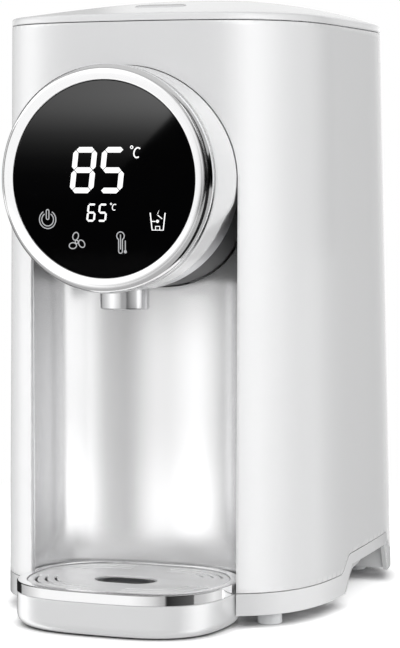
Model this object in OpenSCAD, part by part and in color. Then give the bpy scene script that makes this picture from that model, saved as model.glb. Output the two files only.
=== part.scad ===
// Electric thermo pot with a round display head, a cup niche and a lift-out drip tray.
// Millimetres, +Z up, the tap side toward -Y. The origin lies on the table under the middle of the part.

/* [Body] */
// Height of the whole pot above the table
total_height = 350; // [335:1:380]
// Width of the body at the lid line
body_width_top = 186.6; // [180:0.1:194]
// Width of the body, carried down to the table
body_width_bottom = 195.2; // [190:0.1:205]
// Depth of the body at the lid line
body_depth_top = 224.6; // [218:0.1:236]
// How far the front wall spreads forward from the lid line to the table
front_lean = 2.3; // [0:0.1:4]
// How far the rear wall spreads back from the lid line to the table
rear_lean = 19.6; // [8:0.1:26]
// Exponent of the outline across the width
side_roundness = 2.6; // [2.4:0.1:3.2]
// Exponent of the outline along the depth
front_roundness = 4.3; // [3.8:0.1:5]
// Wall of the outer shell
shell_wall = 2.5; // [1.8:0.1:3.2]
// Width of the dark line between two covers
parting_gap = 0.5; // [0.3:0.1:0.8]

/* [Base] */
// Height of the plinth's lower edge above the table
foot_height = 6.7; // [4:0.1:9]
// Diameter of a rubber foot
foot_diameter = 13.7; // [10:0.1:16]
// Distance of the front feet's axes from the inside of the shell
foot_inset_front = 9.35; // [8.5:0.05:14]
// Distance of the rear feet's axes from the inside of the shell
foot_inset_rear = 17.8; // [15:0.1:24]
// Height of the plinth band
plinth_height = 12.4; // [10:0.1:16]
// Thickness of the bottom plate
plate_thickness = 2.6; // [2:0.1:3.5]
// Height of the hand holds above the plinth's lower edge
hold_rise = 15.2; // [12:0.1:18]
// Front end of the hand holds, behind the body's middle
hold_front = -12.5; // [-16:0.5:-8]
// Rear end of the hand holds, behind the body's middle
hold_rear = 60; // [52:0.5:64]
// Distance of the hand holds' inner walls from the middle of the width
hold_inner = 68.35; // [66:0.05:74]
// Height of the plinth band over the hand holds
hold_band = 6.9; // [5:0.1:9]

/* [Vents] */
// Number of louvres in the rear wall
louvre_count = 7; // [3:1:9]
// Length of a louvre
louvre_length = 64; // [40:1:80]
// Width of a louvre
louvre_width = 3; // [2:0.1:4]
// Distance between louvres
louvre_pitch = 8; // [6:0.5:10]
// Width of a slot in the bottom plate
vent_width = 2.6; // [2:0.1:3]
// Distance between the slots of the bottom plate
vent_pitch = 5.4; // [5:0.1:6.4]

/* [Niche] */
// Width of the cup niche
niche_width = 123.6; // [118:0.1:126]
// Depth of the cup niche behind its side edges
niche_depth = 44.2; // [40:0.1:46]
// Distance of the niche's side edges behind the front of the body
niche_setback = 9.1; // [8.3:0.1:11]
// Thickness of the metal niche panel
panel_wall = 1.2; // [0.8:0.1:1.6]

/* [Head] */
// Distance of the head's axis below the lid's parting line
head_drop = 85.9; // [76:0.1:92]
// Diameter of the display glass
glass_diameter = 106.4; // [96:0.1:108]
// Thickness of the display glass
glass_thickness = 2.4; // [1.8:0.1:3]
// Distance of the glass face in front of the body
glass_overhang = 30.1; // [26:0.1:38]
// Depth of the bezel ring
bezel_depth = 8; // [7:0.1:10]
// Depth of the thin trim ring behind the bezel
trim_depth = 1.8; // [1:0.1:3]
// Wall of the head barrel
barrel_wall = 2.5; // [1.8:0.1:3]
// Gap between a fixed cover and the hole that it passes through
cover_gap = 0.3; // [0.2:0.05:0.5]

/* [Nozzle] */
// Outer diameter of the nozzle
nozzle_diameter = 27.6; // [22:0.1:30]
// Bore of the nozzle
nozzle_bore = 8; // [6:0.1:10]
// Distance of the nozzle's axis behind the face of the glass
nozzle_setback = 28.4; // [25:0.1:36]
// Distance of the nozzle's tip below the head's axis
nozzle_drop = 71.5; // [68:0.5:80]

/* [Lid] */
// Height of the lid from its parting line to its crown
lid_height = 17.6; // [14:0.1:22]
// Height of the lid's upright rim
lid_rim = 4; // [3:0.1:6]
// Wall of the lid cover
lid_wall = 2.2; // [1.6:0.1:2.6]
// Diameter of the hinge pin
hinge_pin_diameter = 3; // [2.4:0.1:4]
// Length of the hinge pin
hinge_pin_length = 42; // [36:0.5:50]
// Length of the release button across the lid
button_length = 30; // [24:0.5:36]
// Width of the release button
button_width = 13; // [10:0.5:15]
// Travel of the release button and of the latch hook
button_travel = 3; // [2.5:0.1:3.2]
// Gap around the release button
button_gap = 0.35; // [0.25:0.05:0.5]

/* [Pot] */
// Gap between the inner pot and the niche panel in front of it
pot_front_gap = 4.3; // [4:0.1:8]
// Gap between the inner pot and the rear wall at the lid line
pot_rear_gap = 7.3; // [6:0.1:10]
// Wall of the inner pot
pot_wall = 1; // [0.8:0.1:1.5]
// Height of the pot's floor above the table
pot_floor_height = 72; // [70:0.5:80]
// Depth of the lid's plug below the pot's rim
plug_depth = 5; // [3:0.5:8]

/* [Water path] */
// Outer diameter of the silicone hoses
hose_diameter = 11; // [10:0.1:12]
// Outer diameter of the spigots that the hoses slip on
spigot_diameter = 8; // [7:0.1:8.6]
// Bore of the spigots
spigot_bore = 6; // [4:0.1:6.4]
// Diameter of the pump chamber
pump_diameter = 36; // [34:0.5:38]
// Diameter of the impeller
impeller_diameter = 28; // [24:0.5:29]
// Diameter of the pump shaft
shaft_diameter = 2; // [1.6:0.1:3]
// Radial clearance of turning shafts
running_gap = 0.06; // [0.03:0.01:0.1]

/* [Drip tray] */
// Gap between the tray and the niche
tray_gap = 0.9; // [0.6:0.1:1.5]
// Distance of the tray's front in front of the body
tray_overhang = 45.3; // [38:0.1:53]
// Height of the tray's rim above the table
tray_top = 24.8; // [22:0.1:30]
// Height of the metal band round the tray's rim
tray_band_height = 6; // [5:0.1:8]
// Height of the tray's underside above the table
tray_lift = 0.4; // [0.3:0.1:1]
// Wall of the tray
tray_wall = 2.4; // [1.8:0.1:3]
// Width of the rim around the grille
tray_rim = 5.6; // [5.2:0.1:7]
// Thickness of the grille plate
grille_thickness = 1.4; // [1:0.1:2]
// Width of the grille's slots
slot_width = 1.6; // [1.2:0.1:2.4]
// Number of slot rings in the grille
slot_rings = 3; // [1:1:4]
// Distance between slot rings
slot_pitch = 5; // [4:0.1:5.4]
// Length of the float window
window_length = 36; // [30:0.5:40]
// Width of the float window
window_width = 22; // [18:0.5:24]

/* [Hidden] */
$fn = 96;
tiny = 0.01;
// How far cutters and half planes reach
far = 200;
outline_points = 96;

// Body outline
lid_line = total_height - lid_height;
plinth_line = foot_height + plinth_height;
function spread(z) = 1 - z / lid_line;
function half_width(z) = body_width_top / 2 + (body_width_bottom - body_width_top) / 2 * spread(z);
function front_y(z) = -body_depth_top / 2 - front_lean * spread(z);
function rear_y(z) = body_depth_top / 2 + rear_lean * spread(z);
function signed_power(v, p) = sign(v) * pow(abs(v), p);
function super_point(a, b, t, px, py) =
    [a * signed_power(cos(t), 2 / px), b * signed_power(sin(t), 2 / py)];
function body_ring(z, inset) = [
    for (i = [0 : outline_points - 1])
        let (b = (rear_y(z) - front_y(z)) / 2 - inset)
        super_point(half_width(z) - inset, b, 360 * i / outline_points, side_roundness, front_roundness)
        + [0, (rear_y(z) + front_y(z)) / 2]
];
// Place of the body's side across the width, at a place along the depth
function side_x(y, z, inset) =
    let (b = (rear_y(z) - front_y(z)) / 2 - inset, from_middle = abs(y - (rear_y(z) + front_y(z)) / 2))
    (half_width(z) - inset) * pow(1 - pow(from_middle / b, front_roundness), 1 / side_roundness);
function at_height(points, z) = [for (p = points) [p[0], p[1], z]];

// The part stands so that the origin is under the middle of its length
rear_reach = rear_y(foot_height);
tray_reach = body_depth_top / 2 + tray_overhang;
middle_shift = (tray_reach - rear_reach) / 2;

// Niche
niche_edge = body_depth_top / 2 - niche_setback;
niche_rear = niche_depth - niche_edge + panel_wall;
niche_half = niche_width / 2;
niche_straight = niche_half - niche_depth;
panel_front = -niche_edge + 1;
panel_play = 0.1;

// Head
head_radius = niche_half;
head_axis_height = lid_line - head_drop;
glass_reach = body_depth_top / 2 + glass_overhang;
glass_radius = glass_diameter / 2;
bezel_back = glass_reach - bezel_depth + 0.4;
barrel_front = bezel_back - trim_depth;
board_radius = head_radius - barrel_wall - 1.5;
board_thickness = 1.6;
display_depth = 6.6;
digit_x = [-27, 25];
digit_z = [-25, 20];
board_front = glass_reach - glass_thickness - display_depth;
board_back = board_front - board_thickness;
board_screw_radius = head_radius - barrel_wall - 3.6;
board_screw_angles = [45, 135, 225, 315];
boss_radius = 4;
small_screw_radius = 1.2;
small_head_radius = 2.7;
touch_spring_radius = 3.6;
touch_places = [[-33, -21.5], [-15.6, -33.9], [11, -34.1], [31.8, -21.5]];

// Inner pot and deck
pot_front = niche_rear + pot_front_gap;
pot_rear = body_depth_top / 2 - shell_wall - pot_rear_gap;
pot_radius = (pot_rear - pot_front) / 2;
pot_axis = (pot_rear + pot_front) / 2;
deck_thickness = 2.5;
deck_edge_wall = 1.6;
deck_drop = 9.9;
deck_top = lid_line - deck_drop;
rim_width = 4.5;
seal_thickness = 2;
seal_top = deck_top + pot_wall + seal_thickness;
plug_radius = pot_radius - pot_wall - 5;
plug_wall = 2;
heater_radius = 45;
heater_thickness = 6;
element_thickness = 7;
element_outer = 39;
element_inner = 30;
element_gap = 7;
element_tab_x = 10;
heater_bottom = pot_floor_height - heater_thickness;
spigot_drop = 9;
band_height = 30;
sensor_place = [-44, pot_axis + 37.5];
fuse_x = 19;

// Pump, under the pot and clear of the heater
pump_x = 40;
pump_y = pot_axis - 36.5;
pump_radius = pump_diameter / 2;
chamber_base = pot_floor_height - 32;
chamber_height = 12;
chamber_wall = 2;
cover_thickness = 2;
cover_top = chamber_base + chamber_height + cover_thickness;
motor_radius = 13;
motor_base = 14;
spigot_length = 8;
outlet_x = pump_x + 12;
outlet_z = chamber_base + chamber_height / 2 + 1;
spigot_radius = spigot_diameter / 2;
hose_bore = spigot_radius + 0.05;
hose_radius = hose_diameter / 2;
hose_sides = 16;
hose_bend = 7;
riser_y = pump_y - pump_radius - spigot_length - 12;
riser_turn = head_axis_height + 10;
nozzle_reach = glass_reach - nozzle_setback;
nozzle_tip_height = head_axis_height - nozzle_drop;
nozzle_cup_height = 20;
nozzle_tube_length = 9;
nozzle_tube_radius = nozzle_bore / 2 + 2.5;
nozzle_top = nozzle_tip_height + nozzle_cup_height + nozzle_tube_length;

// Base
plate_bottom = foot_height + 1.3;
plate_top = plate_bottom + plate_thickness;
foot_flange = 0.4;
plate_front = front_y(plate_bottom);
plate_rear = rear_y(plate_bottom);
foot_places = [
    for (p = [[plate_front + 32.45, foot_inset_front], [plate_rear - 30.43, foot_inset_rear]])
        [side_x(p[0], plate_bottom, shell_wall) - p[1], p[0]]
];
screw_radius = 1.5;
screw_head_radius = 3.4;
base_screw_places = [
    for (p = [[plate_front + 62.55, 9.1], [plate_rear - 39.43, 9.9]], side = [-1, 1])
        [side * (side_x(p[0], plate_bottom, shell_wall) - p[1]), p[0]],
    [0, plate_rear - 15.43]
];
hold_slant = 1.8;
hold_ceiling = foot_height + hold_rise + hold_slant;
hold_wall = 2;
hold_end = 8;
pocket_front = hold_front - hold_end;
pocket_rear = hold_rear + hold_end - hold_wall;
louvre_base = 66;

// Fan under the pot, over the slots of the bottom plate
fan_size = 60;
fan_depth = 15;
fan_place = [-32, 20];
fan_base = plate_top + 2;
fan_duct_radius = 28;
fan_hub_radius = 11;
fan_pin_radius = 1.5;
fan_blades = 7;
fan_corners = [-fan_size / 2 + 5, fan_size / 2 - 5];

// Control board, behind the fan
board_size = [86, 42, 1.6];
board_place = [-62, plate_rear - 65.43, plate_top + 5];
board_level = board_place[2] + board_size[2];
transformer_x = [8, 40];
transformer_y = [8, 34];
transformer_height = 27;
bobbin_flange = 5;
coil_bulge = 3;
relay_x = [50, 70];
relay_y = [18, 34];
relay_height = 16;
capacitor_x = [52, 62, 72];
capacitor_y = 10;
capacitor_radius = 4;
capacitor_height = 14;
main_capacitor = [78, 30];
main_capacitor_radius = 6;
main_capacitor_height = 20;

// Ribbon cable from the control board to the display
ribbon_x = [2, 14];
ribbon_thickness = 1.2;
ribbon_play = 1.6;
ribbon_high = riser_turn + 4.6;

// Power inlet in the rear wall
inlet_x = 0;
inlet_z = 36;
inlet_opening = [24, 16.4];
inlet_housing = [28, 20.4];
inlet_flange = [33, 25];
inlet_depth = 20;
blade_depth = 5;
inlet_face = rear_y(inlet_z) + 0.2;

// Lid
dome_shoulder = lid_line + lid_rim + 1.9;
hinge_y = body_depth_top / 2 + 5.5;
hinge_z = lid_line + 1.6;
hinge_radius = 4.5;
arm_half = 12;
lug_gap = 0.5;
pin_radius = hinge_pin_diameter / 2;
liner_bottom = lid_line + 0.6;
liner_thickness = 2;
liner_top = liner_bottom + liner_thickness;
button_y = 50.3 - body_depth_top / 2;
button_top = total_height - 3.2;
flange_top = total_height - 8.6;
flange_thickness = 1.8;
spring_top = flange_top - flange_thickness;
spring_radius = 4.4;
hook_leg_y = 15.3 - body_depth_top / 2;
hook_half = 5;
hook_tip_y = hook_leg_y - 5.5;
keeper_edge_y = hook_tip_y + 2.3;
keeper_thickness = 1.8;
bar_low = liner_top + 0.15;
bar_top = liner_top + 2;
ramp_half = 3;
ramp_play = 0.15;
ramp_low = bar_top - 0.8;
ramp_top = bar_top + button_travel + 0.2;
button_skirt = 5;
ramp_y = button_y - 18.2;
tab_thickness = 1.4;
hook_bottom = deck_top + 4;
hook_nose = 2.5;
steam_y = body_depth_top / 2 - 50.3;
steam_radius = 11;
lid_screw_places = [
    for (side = [-1, 1]) each [
        [side * 73, body_depth_top / 2 - 28.3],
        [side * 66, 46.3 - body_depth_top / 2]
    ]
];
lid_boss_height = 1.6;

// Drip tray
tray_half = niche_half - tray_gap;
tray_nose = tray_reach - niche_edge;
tray_back_radius = niche_depth - tray_gap;
tray_roundness = [3.06, 2.87];
band_bottom = tray_top - tray_band_height;
grille_top = tray_top - 0.4;
ledge_top = grille_top - grille_thickness;
window_y = 45.1 - tray_reach;
slot_margin = 3.4;
bridge = 3.5;
float_gap = 0.7;
float_height = 9;
float_skin = 2.4;
float_top = grille_top - 0.9;
float_post_radius = 2;
tray_edge_round = 6.2;

// ---------- Shared shapes ----------

// Everything is drawn about the body's middle and then set over the origin
module in_place() {
    translate([0, middle_shift, 0]) children();
}

// Solid through a stack of rings that all have the same number of points
module loft(rings) {
    n = len(rings[0]);
    top = (len(rings) - 1) * n;
    polyhedron(
        points = [for (r = rings) each r],
        faces = [
            [for (i = [0 : n - 1]) i],
            [for (i = [n - 1 : -1 : 0]) top + i],
            for (k = [0 : len(rings) - 2], i = [0 : n - 1])
                let (j = (i + 1) % n)
                each [[k * n + i, (k + 1) * n + i, k * n + j], [k * n + j, (k + 1) * n + i, (k + 1) * n + j]]
        ],
        convexity = 6
    );
}

// Body form between two heights, inset from the outside
module body_form(z0, z1, inset) {
    loft([at_height(body_ring(z0, inset), z0), at_height(body_ring(z1, inset), z1)]);
}

// Plan of the cup niche: an open front and two large rear corners
module niche_plan(inset) {
    r = niche_depth - inset;
    for (side = [-1, 1]) translate([side * niche_straight, -niche_edge]) circle(r = r);
    translate([-niche_straight, -niche_edge - tiny]) square([2 * niche_straight, r + tiny]);
    translate([-niche_half + inset, -niche_edge - niche_width])
        square([niche_width - 2 * inset, niche_width]);
}

module niche_block(z0, z1, inset) {
    translate([0, 0, z0]) linear_extrude(z1 - z0) niche_plan(inset);
}

// Opening for the niche and the rebate that takes the edge of its panel
module niche_cut(z1) {
    niche_block(-1, z1, 0);
    intersection() {
        niche_block(-1, z1, -panel_wall - panel_play);
        block([-niche_width, niche_width], [panel_front - panel_play, 0], [-1, total_height]);
    }
}

// Cylinder along Y, from the front face at front to the rear face at rear
module along_y(r, front, rear, x = 0, z = head_axis_height) {
    translate([x, rear, z]) rotate([90, 0, 0]) cylinder(r = r, h = rear - front);
}

module upright(r, z0, z1, x = 0, y = 0) {
    translate([x, y, z0]) cylinder(r = r, h = z1 - z0);
}

module tube(r_out, r_in, z0, z1, x = 0, y = 0) {
    translate([x, y, z0]) difference() {
        cylinder(r = r_out, h = z1 - z0);
        translate([0, 0, -1]) cylinder(r = r_in, h = z1 - z0 + 2);
    }
}

module block(x, y, z) {
    translate([x[0], y[0], z[0]]) cube([x[1] - x[0], y[1] - y[0], z[1] - z[0]]);
}

// Route whose corners are rounded, starting the bend at the given distance from each corner
function unit(v) = v / norm(v);
function rounded_route(points, bend) = concat(
    [points[0]],
    [for (i = [1 : len(points) - 2])
        let (c = points[i], a = c + bend * unit(points[i - 1] - c), b = c + bend * unit(points[i + 1] - c))
        for (t = [0 : 0.25 : 1]) (1 - t) * (1 - t) * a + 2 * t * (1 - t) * c + t * t * b],
    [points[len(points) - 1]]
);

// Round hose along a route that never runs along X, with its flats at the radius r
module swept_line(route, flat_r) {
    r = flat_r / cos(180 / hose_sides);
    last = len(route) - 1;
    loft([for (i = [0 : last])
        let (
            t = unit(route[min(i + 1, last)] - route[max(i - 1, 0)]),
            u = unit([1, 0, 0] - t[0] * t),
            v = cross(t, u)
        )
        [for (k = [0 : hose_sides - 1])
            route[i] + r * cos(360 * k / hose_sides) * u + r * sin(360 * k / hose_sides) * v]
    ]);
}

// Flat oblong with round ends, along X
module oblong(length, width) {
    for (side = [-1, 1]) translate([side * (length - width) / 2, 0]) circle(d = width);
    square([length - width, width], center = true);
}

// Rise of the hand hold along the side, 0 outside it and 1 along its top
function smooth(t) = t <= 0 ? 0 : t >= 1 ? 1 : t * t * (3 - 2 * t);
function hold_shape(y, front, rear) =
    smooth((y - front + 9) / 17) * (1 - smooth((y - rear + 3) / 9));
hold_steps = [for (y = [hold_front - 12 : 1.5 : hold_rear + 12]) y];
function hold_slope(y) = hold_slant * (y - hold_front) / (hold_rear - hold_front);

// Side view of what lies below a line that rises over the hand holds
module below_line(level, rise, grow) {
    rotate([90, 0, 90]) translate([0, 0, -body_width_bottom]) linear_extrude(2 * body_width_bottom)
        polygon([
            [-far, -50],
            [-far, level],
            for (y = hold_steps)
                [y, level + (rise + hold_slope(y)) * hold_shape(y, hold_front - grow, hold_rear + grow)],
            [far, level],
            [far, -50]
        ]);
}

// ---------- Housing ----------

module rear_louvres() {
    for (i = [0 : louvre_count - 1]) translate([0, rear_y(louvre_base), louvre_base + louvre_pitch * i])
        rotate([90, 0, 0]) linear_extrude(30, center = true) oblong(louvre_length, louvre_width);
}

module outer_shell() {
    color("white") in_place() difference() {
        body_form(foot_height, lid_line - parting_gap / 2, 0);
        body_form(foot_height - 1, lid_line + 1, shell_wall);
        below_line(plinth_line + parting_gap / 2, hold_band + hold_rise - plinth_height, 5);
        niche_cut(head_axis_height);
        along_y(head_radius + cover_gap, -200, -60);
        inlet_frame() linear_extrude(30, center = true) square(inlet_housing + [0.4, 0.4], center = true);
        rear_louvres();
    }
}

// Pocket behind each hand hold, so that the housing stays closed there
module hold_pocket(side) {
    mirror([side < 0 ? 1 : 0, 0, 0]) difference() {
        block([hold_inner - hold_wall, far], [pocket_front - hold_wall, pocket_rear + hold_wall],
            [plate_bottom, hold_ceiling + hold_wall]);
        block([hold_inner, far + 1], [pocket_front, pocket_rear], [0, hold_ceiling]);
    }
}

module base_plinth() {
    color("white") in_place() {
        difference() {
            body_form(foot_height, 40, 0);
            body_form(foot_height - 1, 41, shell_wall);
            below_line(foot_height, hold_rise, 0);
            difference() {
                block([1 - far, far - 1], [1 - far, far - 1], [0, 60]);
                below_line(plinth_line - parting_gap / 2, hold_band + hold_rise - plinth_height, 5);
            }
            niche_cut(60);
        }
        intersection() {
            union() {
                body_form(foot_height, plinth_line - parting_gap, shell_wall - 0.3);
                body_form(foot_height, 41, shell_wall + cover_gap);
            }
            union() {
                for (side = [-1, 1]) hold_pocket(side);
                difference() {
                    for (p = base_screw_places) {
                        upright(4, plate_top, plinth_line + 4, p[0], p[1]);
                        if (p[0] == 0) block([-1, 1], [p[1], far], [plate_top, plinth_line]);
                        else block([min(p[0], p[0] * 2), max(p[0], p[0] * 2)], [p[1] - 1, p[1] + 1],
                            [plate_top, plinth_line]);
                    }
                    for (p = base_screw_places) upright(screw_radius, 0, plinth_line, p[0], p[1]);
                }
            }
        }
    }
}

module bottom_plate() {
    edge = hold_wall + cover_gap;
    color("lightgrey") in_place() difference() {
        translate([0, 0, plate_bottom]) linear_extrude(plate_thickness)
            polygon(body_ring(plate_bottom, shell_wall + cover_gap));
        niche_block(0, 20, -panel_wall - cover_gap);
        for (side = [-1, 1]) mirror([side < 0 ? 1 : 0, 0, 0])
            block([hold_inner - edge, far], [pocket_front - edge, pocket_rear + edge], [0, 30]);
        for (p = base_screw_places) upright(screw_radius + 0.2, 0, 30, p[0], p[1]);
        for (i = [-4 : 4]) translate([fan_place[0], fan_place[1] + vent_pitch * i, plate_bottom - 1])
            linear_extrude(plate_thickness + 2)
                oblong(2 * sqrt(pow(fan_duct_radius, 2) - pow(vent_pitch * i, 2)), vent_width);
    }
}

module rubber_feet() {
    color("whitesmoke") in_place() {
        for (side = [-1, 1], p = foot_places) {
            upright(foot_diameter / 2, 0, foot_height - 1, side * p[0], p[1]);
            upright(foot_diameter / 2 + foot_flange, foot_height - 1, plate_bottom, side * p[0], p[1]);
        }
    }
}

module base_screws() {
    head_bottom = plate_bottom - 2;
    cross_size = [3.6, 0.9, 1.6];
    color("silver") in_place() for (p = base_screw_places) difference() {
        union() {
            upright(screw_head_radius, head_bottom, plate_bottom, p[0], p[1]);
            upright(screw_radius, plate_bottom - 1, plinth_line - 2, p[0], p[1]);
        }
        for (a = [0, 90]) translate([p[0], p[1], head_bottom]) rotate([0, 0, a])
            cube(cross_size, center = true);
    }
}

module niche_panel() {
    color("silver") in_place() difference() {
        intersection() {
            niche_block(foot_height, head_axis_height, -panel_wall);
            block([-niche_width, niche_width], [panel_front, 0], [0, total_height]);
        }
        niche_block(0, total_height, 0);
        along_y(head_radius + cover_gap, -200, 0);
    }
}

// ---------- Display head ----------

module head_form(radius, front, inset) {
    intersection() {
        along_y(radius, front, 0);
        niche_block(100, total_height, inset);
    }
}

module head_barrel() {
    color("white") in_place() {
        difference() {
            head_form(head_radius, -barrel_front, cover_gap);
            head_form(head_radius - barrel_wall, -barrel_front - 1, cover_gap + barrel_wall);
            upright(nozzle_diameter / 2 + cover_gap, nozzle_tip_height, head_axis_height, 0, -nozzle_reach);
            along_y(hose_radius + cover_gap, -nozzle_reach, 0, outlet_x, riser_turn);
            block([ribbon_x[0] - 1, ribbon_x[1] + 1], [-nozzle_reach, 0],
                [ribbon_high - 1.6, ribbon_high + ribbon_thickness + 1.6]);
        }
        difference() {
            intersection() {
                for (a = board_screw_angles)
                    along_y(boss_radius, -board_back, -board_back + 14, board_screw_radius * cos(a),
                        head_axis_height + board_screw_radius * sin(a));
                along_y(head_radius - barrel_wall + tiny, -board_back, 0);
            }
            for (a = board_screw_angles)
                along_y(small_screw_radius, -board_back - 1, -board_back + 10, board_screw_radius * cos(a),
                    head_axis_height + board_screw_radius * sin(a));
        }
    }
}

module trim_ring() {
    color("silver") in_place() difference() {
        along_y(head_radius - 0.3, -bezel_back, -barrel_front);
        along_y(head_radius - barrel_wall, -bezel_back - 1, -barrel_front + 1);
    }
}

// Ring with a rounded outer shoulder and a seat for the glass
module bezel_ring() {
    shoulder = 3.6;
    inner = glass_radius + 0.1;
    seat = bezel_depth - 0.4 - glass_thickness;
    color("gainsboro") in_place()
        translate([0, -bezel_back, head_axis_height]) rotate([90, 0, 0]) rotate_extrude() {
            difference() {
                union() {
                    translate([inner, 0]) square([head_radius - shoulder - inner, bezel_depth]);
                    translate([inner, 0]) square([head_radius - inner, bezel_depth - shoulder]);
                    translate([head_radius - shoulder, bezel_depth - shoulder]) circle(r = shoulder);
                }
                translate([0, -1]) square([board_radius + 0.6, seat - 1.4 + 1]);
            }
            translate([glass_radius - 3, seat - 1.4]) square([3.2, 1.4]);
        }
}

module glass_panel() {
    color("black") in_place() along_y(glass_radius, -glass_reach, -glass_reach + glass_thickness);
}

module display_board() {
    color("darkgreen") in_place() difference() {
        along_y(board_radius, -board_back - board_thickness, -board_back);
        for (a = board_screw_angles)
            along_y(small_screw_radius + 0.5, -board_back - 5, -board_back + 5, board_screw_radius * cos(a),
                head_axis_height + board_screw_radius * sin(a));
    }
}

module digit_module() {
    color("dimgrey") in_place() difference() {
        block(digit_x, [-glass_reach + glass_thickness, -board_front],
            [head_axis_height + digit_z[0], head_axis_height + digit_z[1]]);
        for (p = touch_places)
            along_y(touch_spring_radius + 0.8, -glass_reach, -board_back, p[0], head_axis_height + p[1]);
    }
}

module touch_springs() {
    color("gold") in_place() for (p = touch_places)
        along_y(touch_spring_radius, -glass_reach + glass_thickness, -board_front, p[0],
            head_axis_height + p[1]);
}

module board_screws() {
    color("silver") in_place() for (a = board_screw_angles) {
        x = board_screw_radius * cos(a);
        z = head_axis_height + board_screw_radius * sin(a);
        along_y(small_head_radius, -board_front - 1.8, -board_front, x, z);
        along_y(small_screw_radius, -board_front, -board_back + 8, x, z);
    }
}

module nozzle() {
    r = nozzle_diameter / 2;
    color("silver") in_place() translate([0, -nozzle_reach, 0]) difference() {
        union() {
            translate([0, 0, nozzle_tip_height]) rotate_extrude() {
                translate([0, 1]) square([r, nozzle_cup_height - 1]);
                square([r - 1, 2]);
                translate([r - 1, 1]) circle(r = 1);
            }
            upright(nozzle_tube_radius, nozzle_tip_height + nozzle_cup_height - 5, nozzle_top);
        }
        upright(nozzle_bore / 2, 0, 300);
        upright(r - 3, nozzle_tip_height - 1, nozzle_tip_height + 3);
    }
}

module nozzle_seal() {
    color("whitesmoke") in_place()
        tube(nozzle_diameter / 2 - 3, nozzle_tube_radius, nozzle_tip_height + nozzle_cup_height,
            nozzle_tip_height + nozzle_cup_height + 3, 0, -nozzle_reach);
}

// ---------- Pot, deck and heat ----------

module top_deck() {
    edge = shell_wall + cover_gap;
    edge_top = lid_line - 2;
    color("white") in_place() difference() {
        union() {
            translate([0, 0, deck_top - deck_thickness]) linear_extrude(deck_thickness)
                polygon(body_ring(lid_line, edge));
            difference() {
                body_form(deck_top - tiny, edge_top, edge);
                body_form(deck_top - 1, edge_top + 1, edge + deck_edge_wall);
            }
        }
        upright(pot_radius + cover_gap, 0, total_height, 0, pot_axis);
    }
}

module inner_pot() {
    color("silver") in_place() {
        difference() {
            union() {
                upright(pot_radius, pot_floor_height, deck_top + pot_wall, 0, pot_axis);
                upright(pot_radius + rim_width, deck_top, deck_top + pot_wall, 0, pot_axis);
                upright(spigot_radius, pot_floor_height - spigot_drop, pot_floor_height + pot_wall,
                    pump_x, pump_y);
            }
            upright(pot_radius - pot_wall, pot_floor_height + pot_wall, total_height, 0, pot_axis);
            upright(spigot_bore / 2, 0, pot_floor_height + 20, pump_x, pump_y);
        }
    }
}

module pot_seal() {
    color("lightgrey") in_place()
        tube(pot_radius + rim_width, pot_radius - pot_wall, deck_top + pot_wall, seal_top, 0, pot_axis);
}

module heater_plate() {
    color("darkgrey") in_place()
        upright(heater_radius, heater_bottom, pot_floor_height, 0, pot_axis);
}

module heater_element() {
    color("grey") in_place() translate([0, pot_axis, heater_bottom - element_thickness]) {
        difference() {
            tube(element_outer, element_inner, 0, element_thickness);
            block([-element_gap, element_gap], [0, heater_radius], [-1, element_thickness + 1]);
        }
        for (side = [-1, 1]) block([side * element_tab_x - 1.5, side * element_tab_x + 1.5],
            [heater_radius - 9, heater_radius + 5], [2, 3]);
    }
}

module warming_band() {
    low = pot_floor_height + 12;
    color("goldenrod") in_place() {
        tube(pot_radius + 1.2, pot_radius + 0.05, low, low + band_height, 0, pot_axis);
        block([-8, 8], [pot_axis + pot_radius + 1, pot_axis + pot_radius + 6], [low + 8, low + 22]);
    }
}

module thermostat() {
    low = heater_bottom - 8;
    color("ivory") in_place() {
        upright(8.5, low, heater_bottom, 0, pot_axis);
        for (side = [-1, 1]) block([side * 5 - 0.4, side * 5 + 0.4], [pot_axis - 3, pot_axis + 3],
            [low - 8, low]);
    }
}

module thermal_fuse() {
    color("tan") in_place()
        along_y(2, pot_axis - 12, pot_axis + 2, fuse_x, heater_bottom - 2);
}

module water_sensor() {
    color("white") in_place() {
        upright(4, pot_floor_height - 8, pot_floor_height, sensor_place[0], sensor_place[1]);
        upright(2, pot_floor_height - 14, pot_floor_height - 8, sensor_place[0], sensor_place[1]);
    }
}

// ---------- Pump and hoses ----------

module pump_chamber() {
    top = chamber_base + chamber_height;
    color("dimgrey") in_place() difference() {
        union() {
            upright(pump_radius, chamber_base, top, pump_x, pump_y);
            along_y(spigot_radius, pump_y - pump_radius - spigot_length, pump_y, outlet_x, outlet_z);
        }
        upright(pump_radius - chamber_wall, chamber_base + chamber_wall, top + 1, pump_x, pump_y);
        along_y(spigot_bore / 2, pump_y - far, pump_y, outlet_x, outlet_z);
        upright(shaft_diameter / 2 + running_gap, 0, top, pump_x, pump_y);
    }
}

module pump_cover() {
    color("grey") in_place() difference() {
        union() {
            upright(pump_radius, chamber_base + chamber_height, cover_top, pump_x, pump_y);
            upright(spigot_radius, cover_top - 1, cover_top + spigot_length - 2, pump_x, pump_y);
        }
        upright(spigot_bore / 2, 0, 100, pump_x, pump_y);
    }
}

module pump_motor() {
    color("silver") in_place() difference() {
        union() {
            upright(motor_radius, motor_base, chamber_base, pump_x, pump_y);
            block([pump_x - 20, pump_x + 20], [pump_y - 5, pump_y + 5], [chamber_base - 2, chamber_base]);
            for (side = [-1, 1]) upright(3, plate_top, chamber_base - 2,
                pump_x + side * (motor_radius + 4), pump_y);
        }
        upright(shaft_diameter / 2 + running_gap, motor_base + 4, cover_top, pump_x, pump_y);
    }
}

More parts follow.
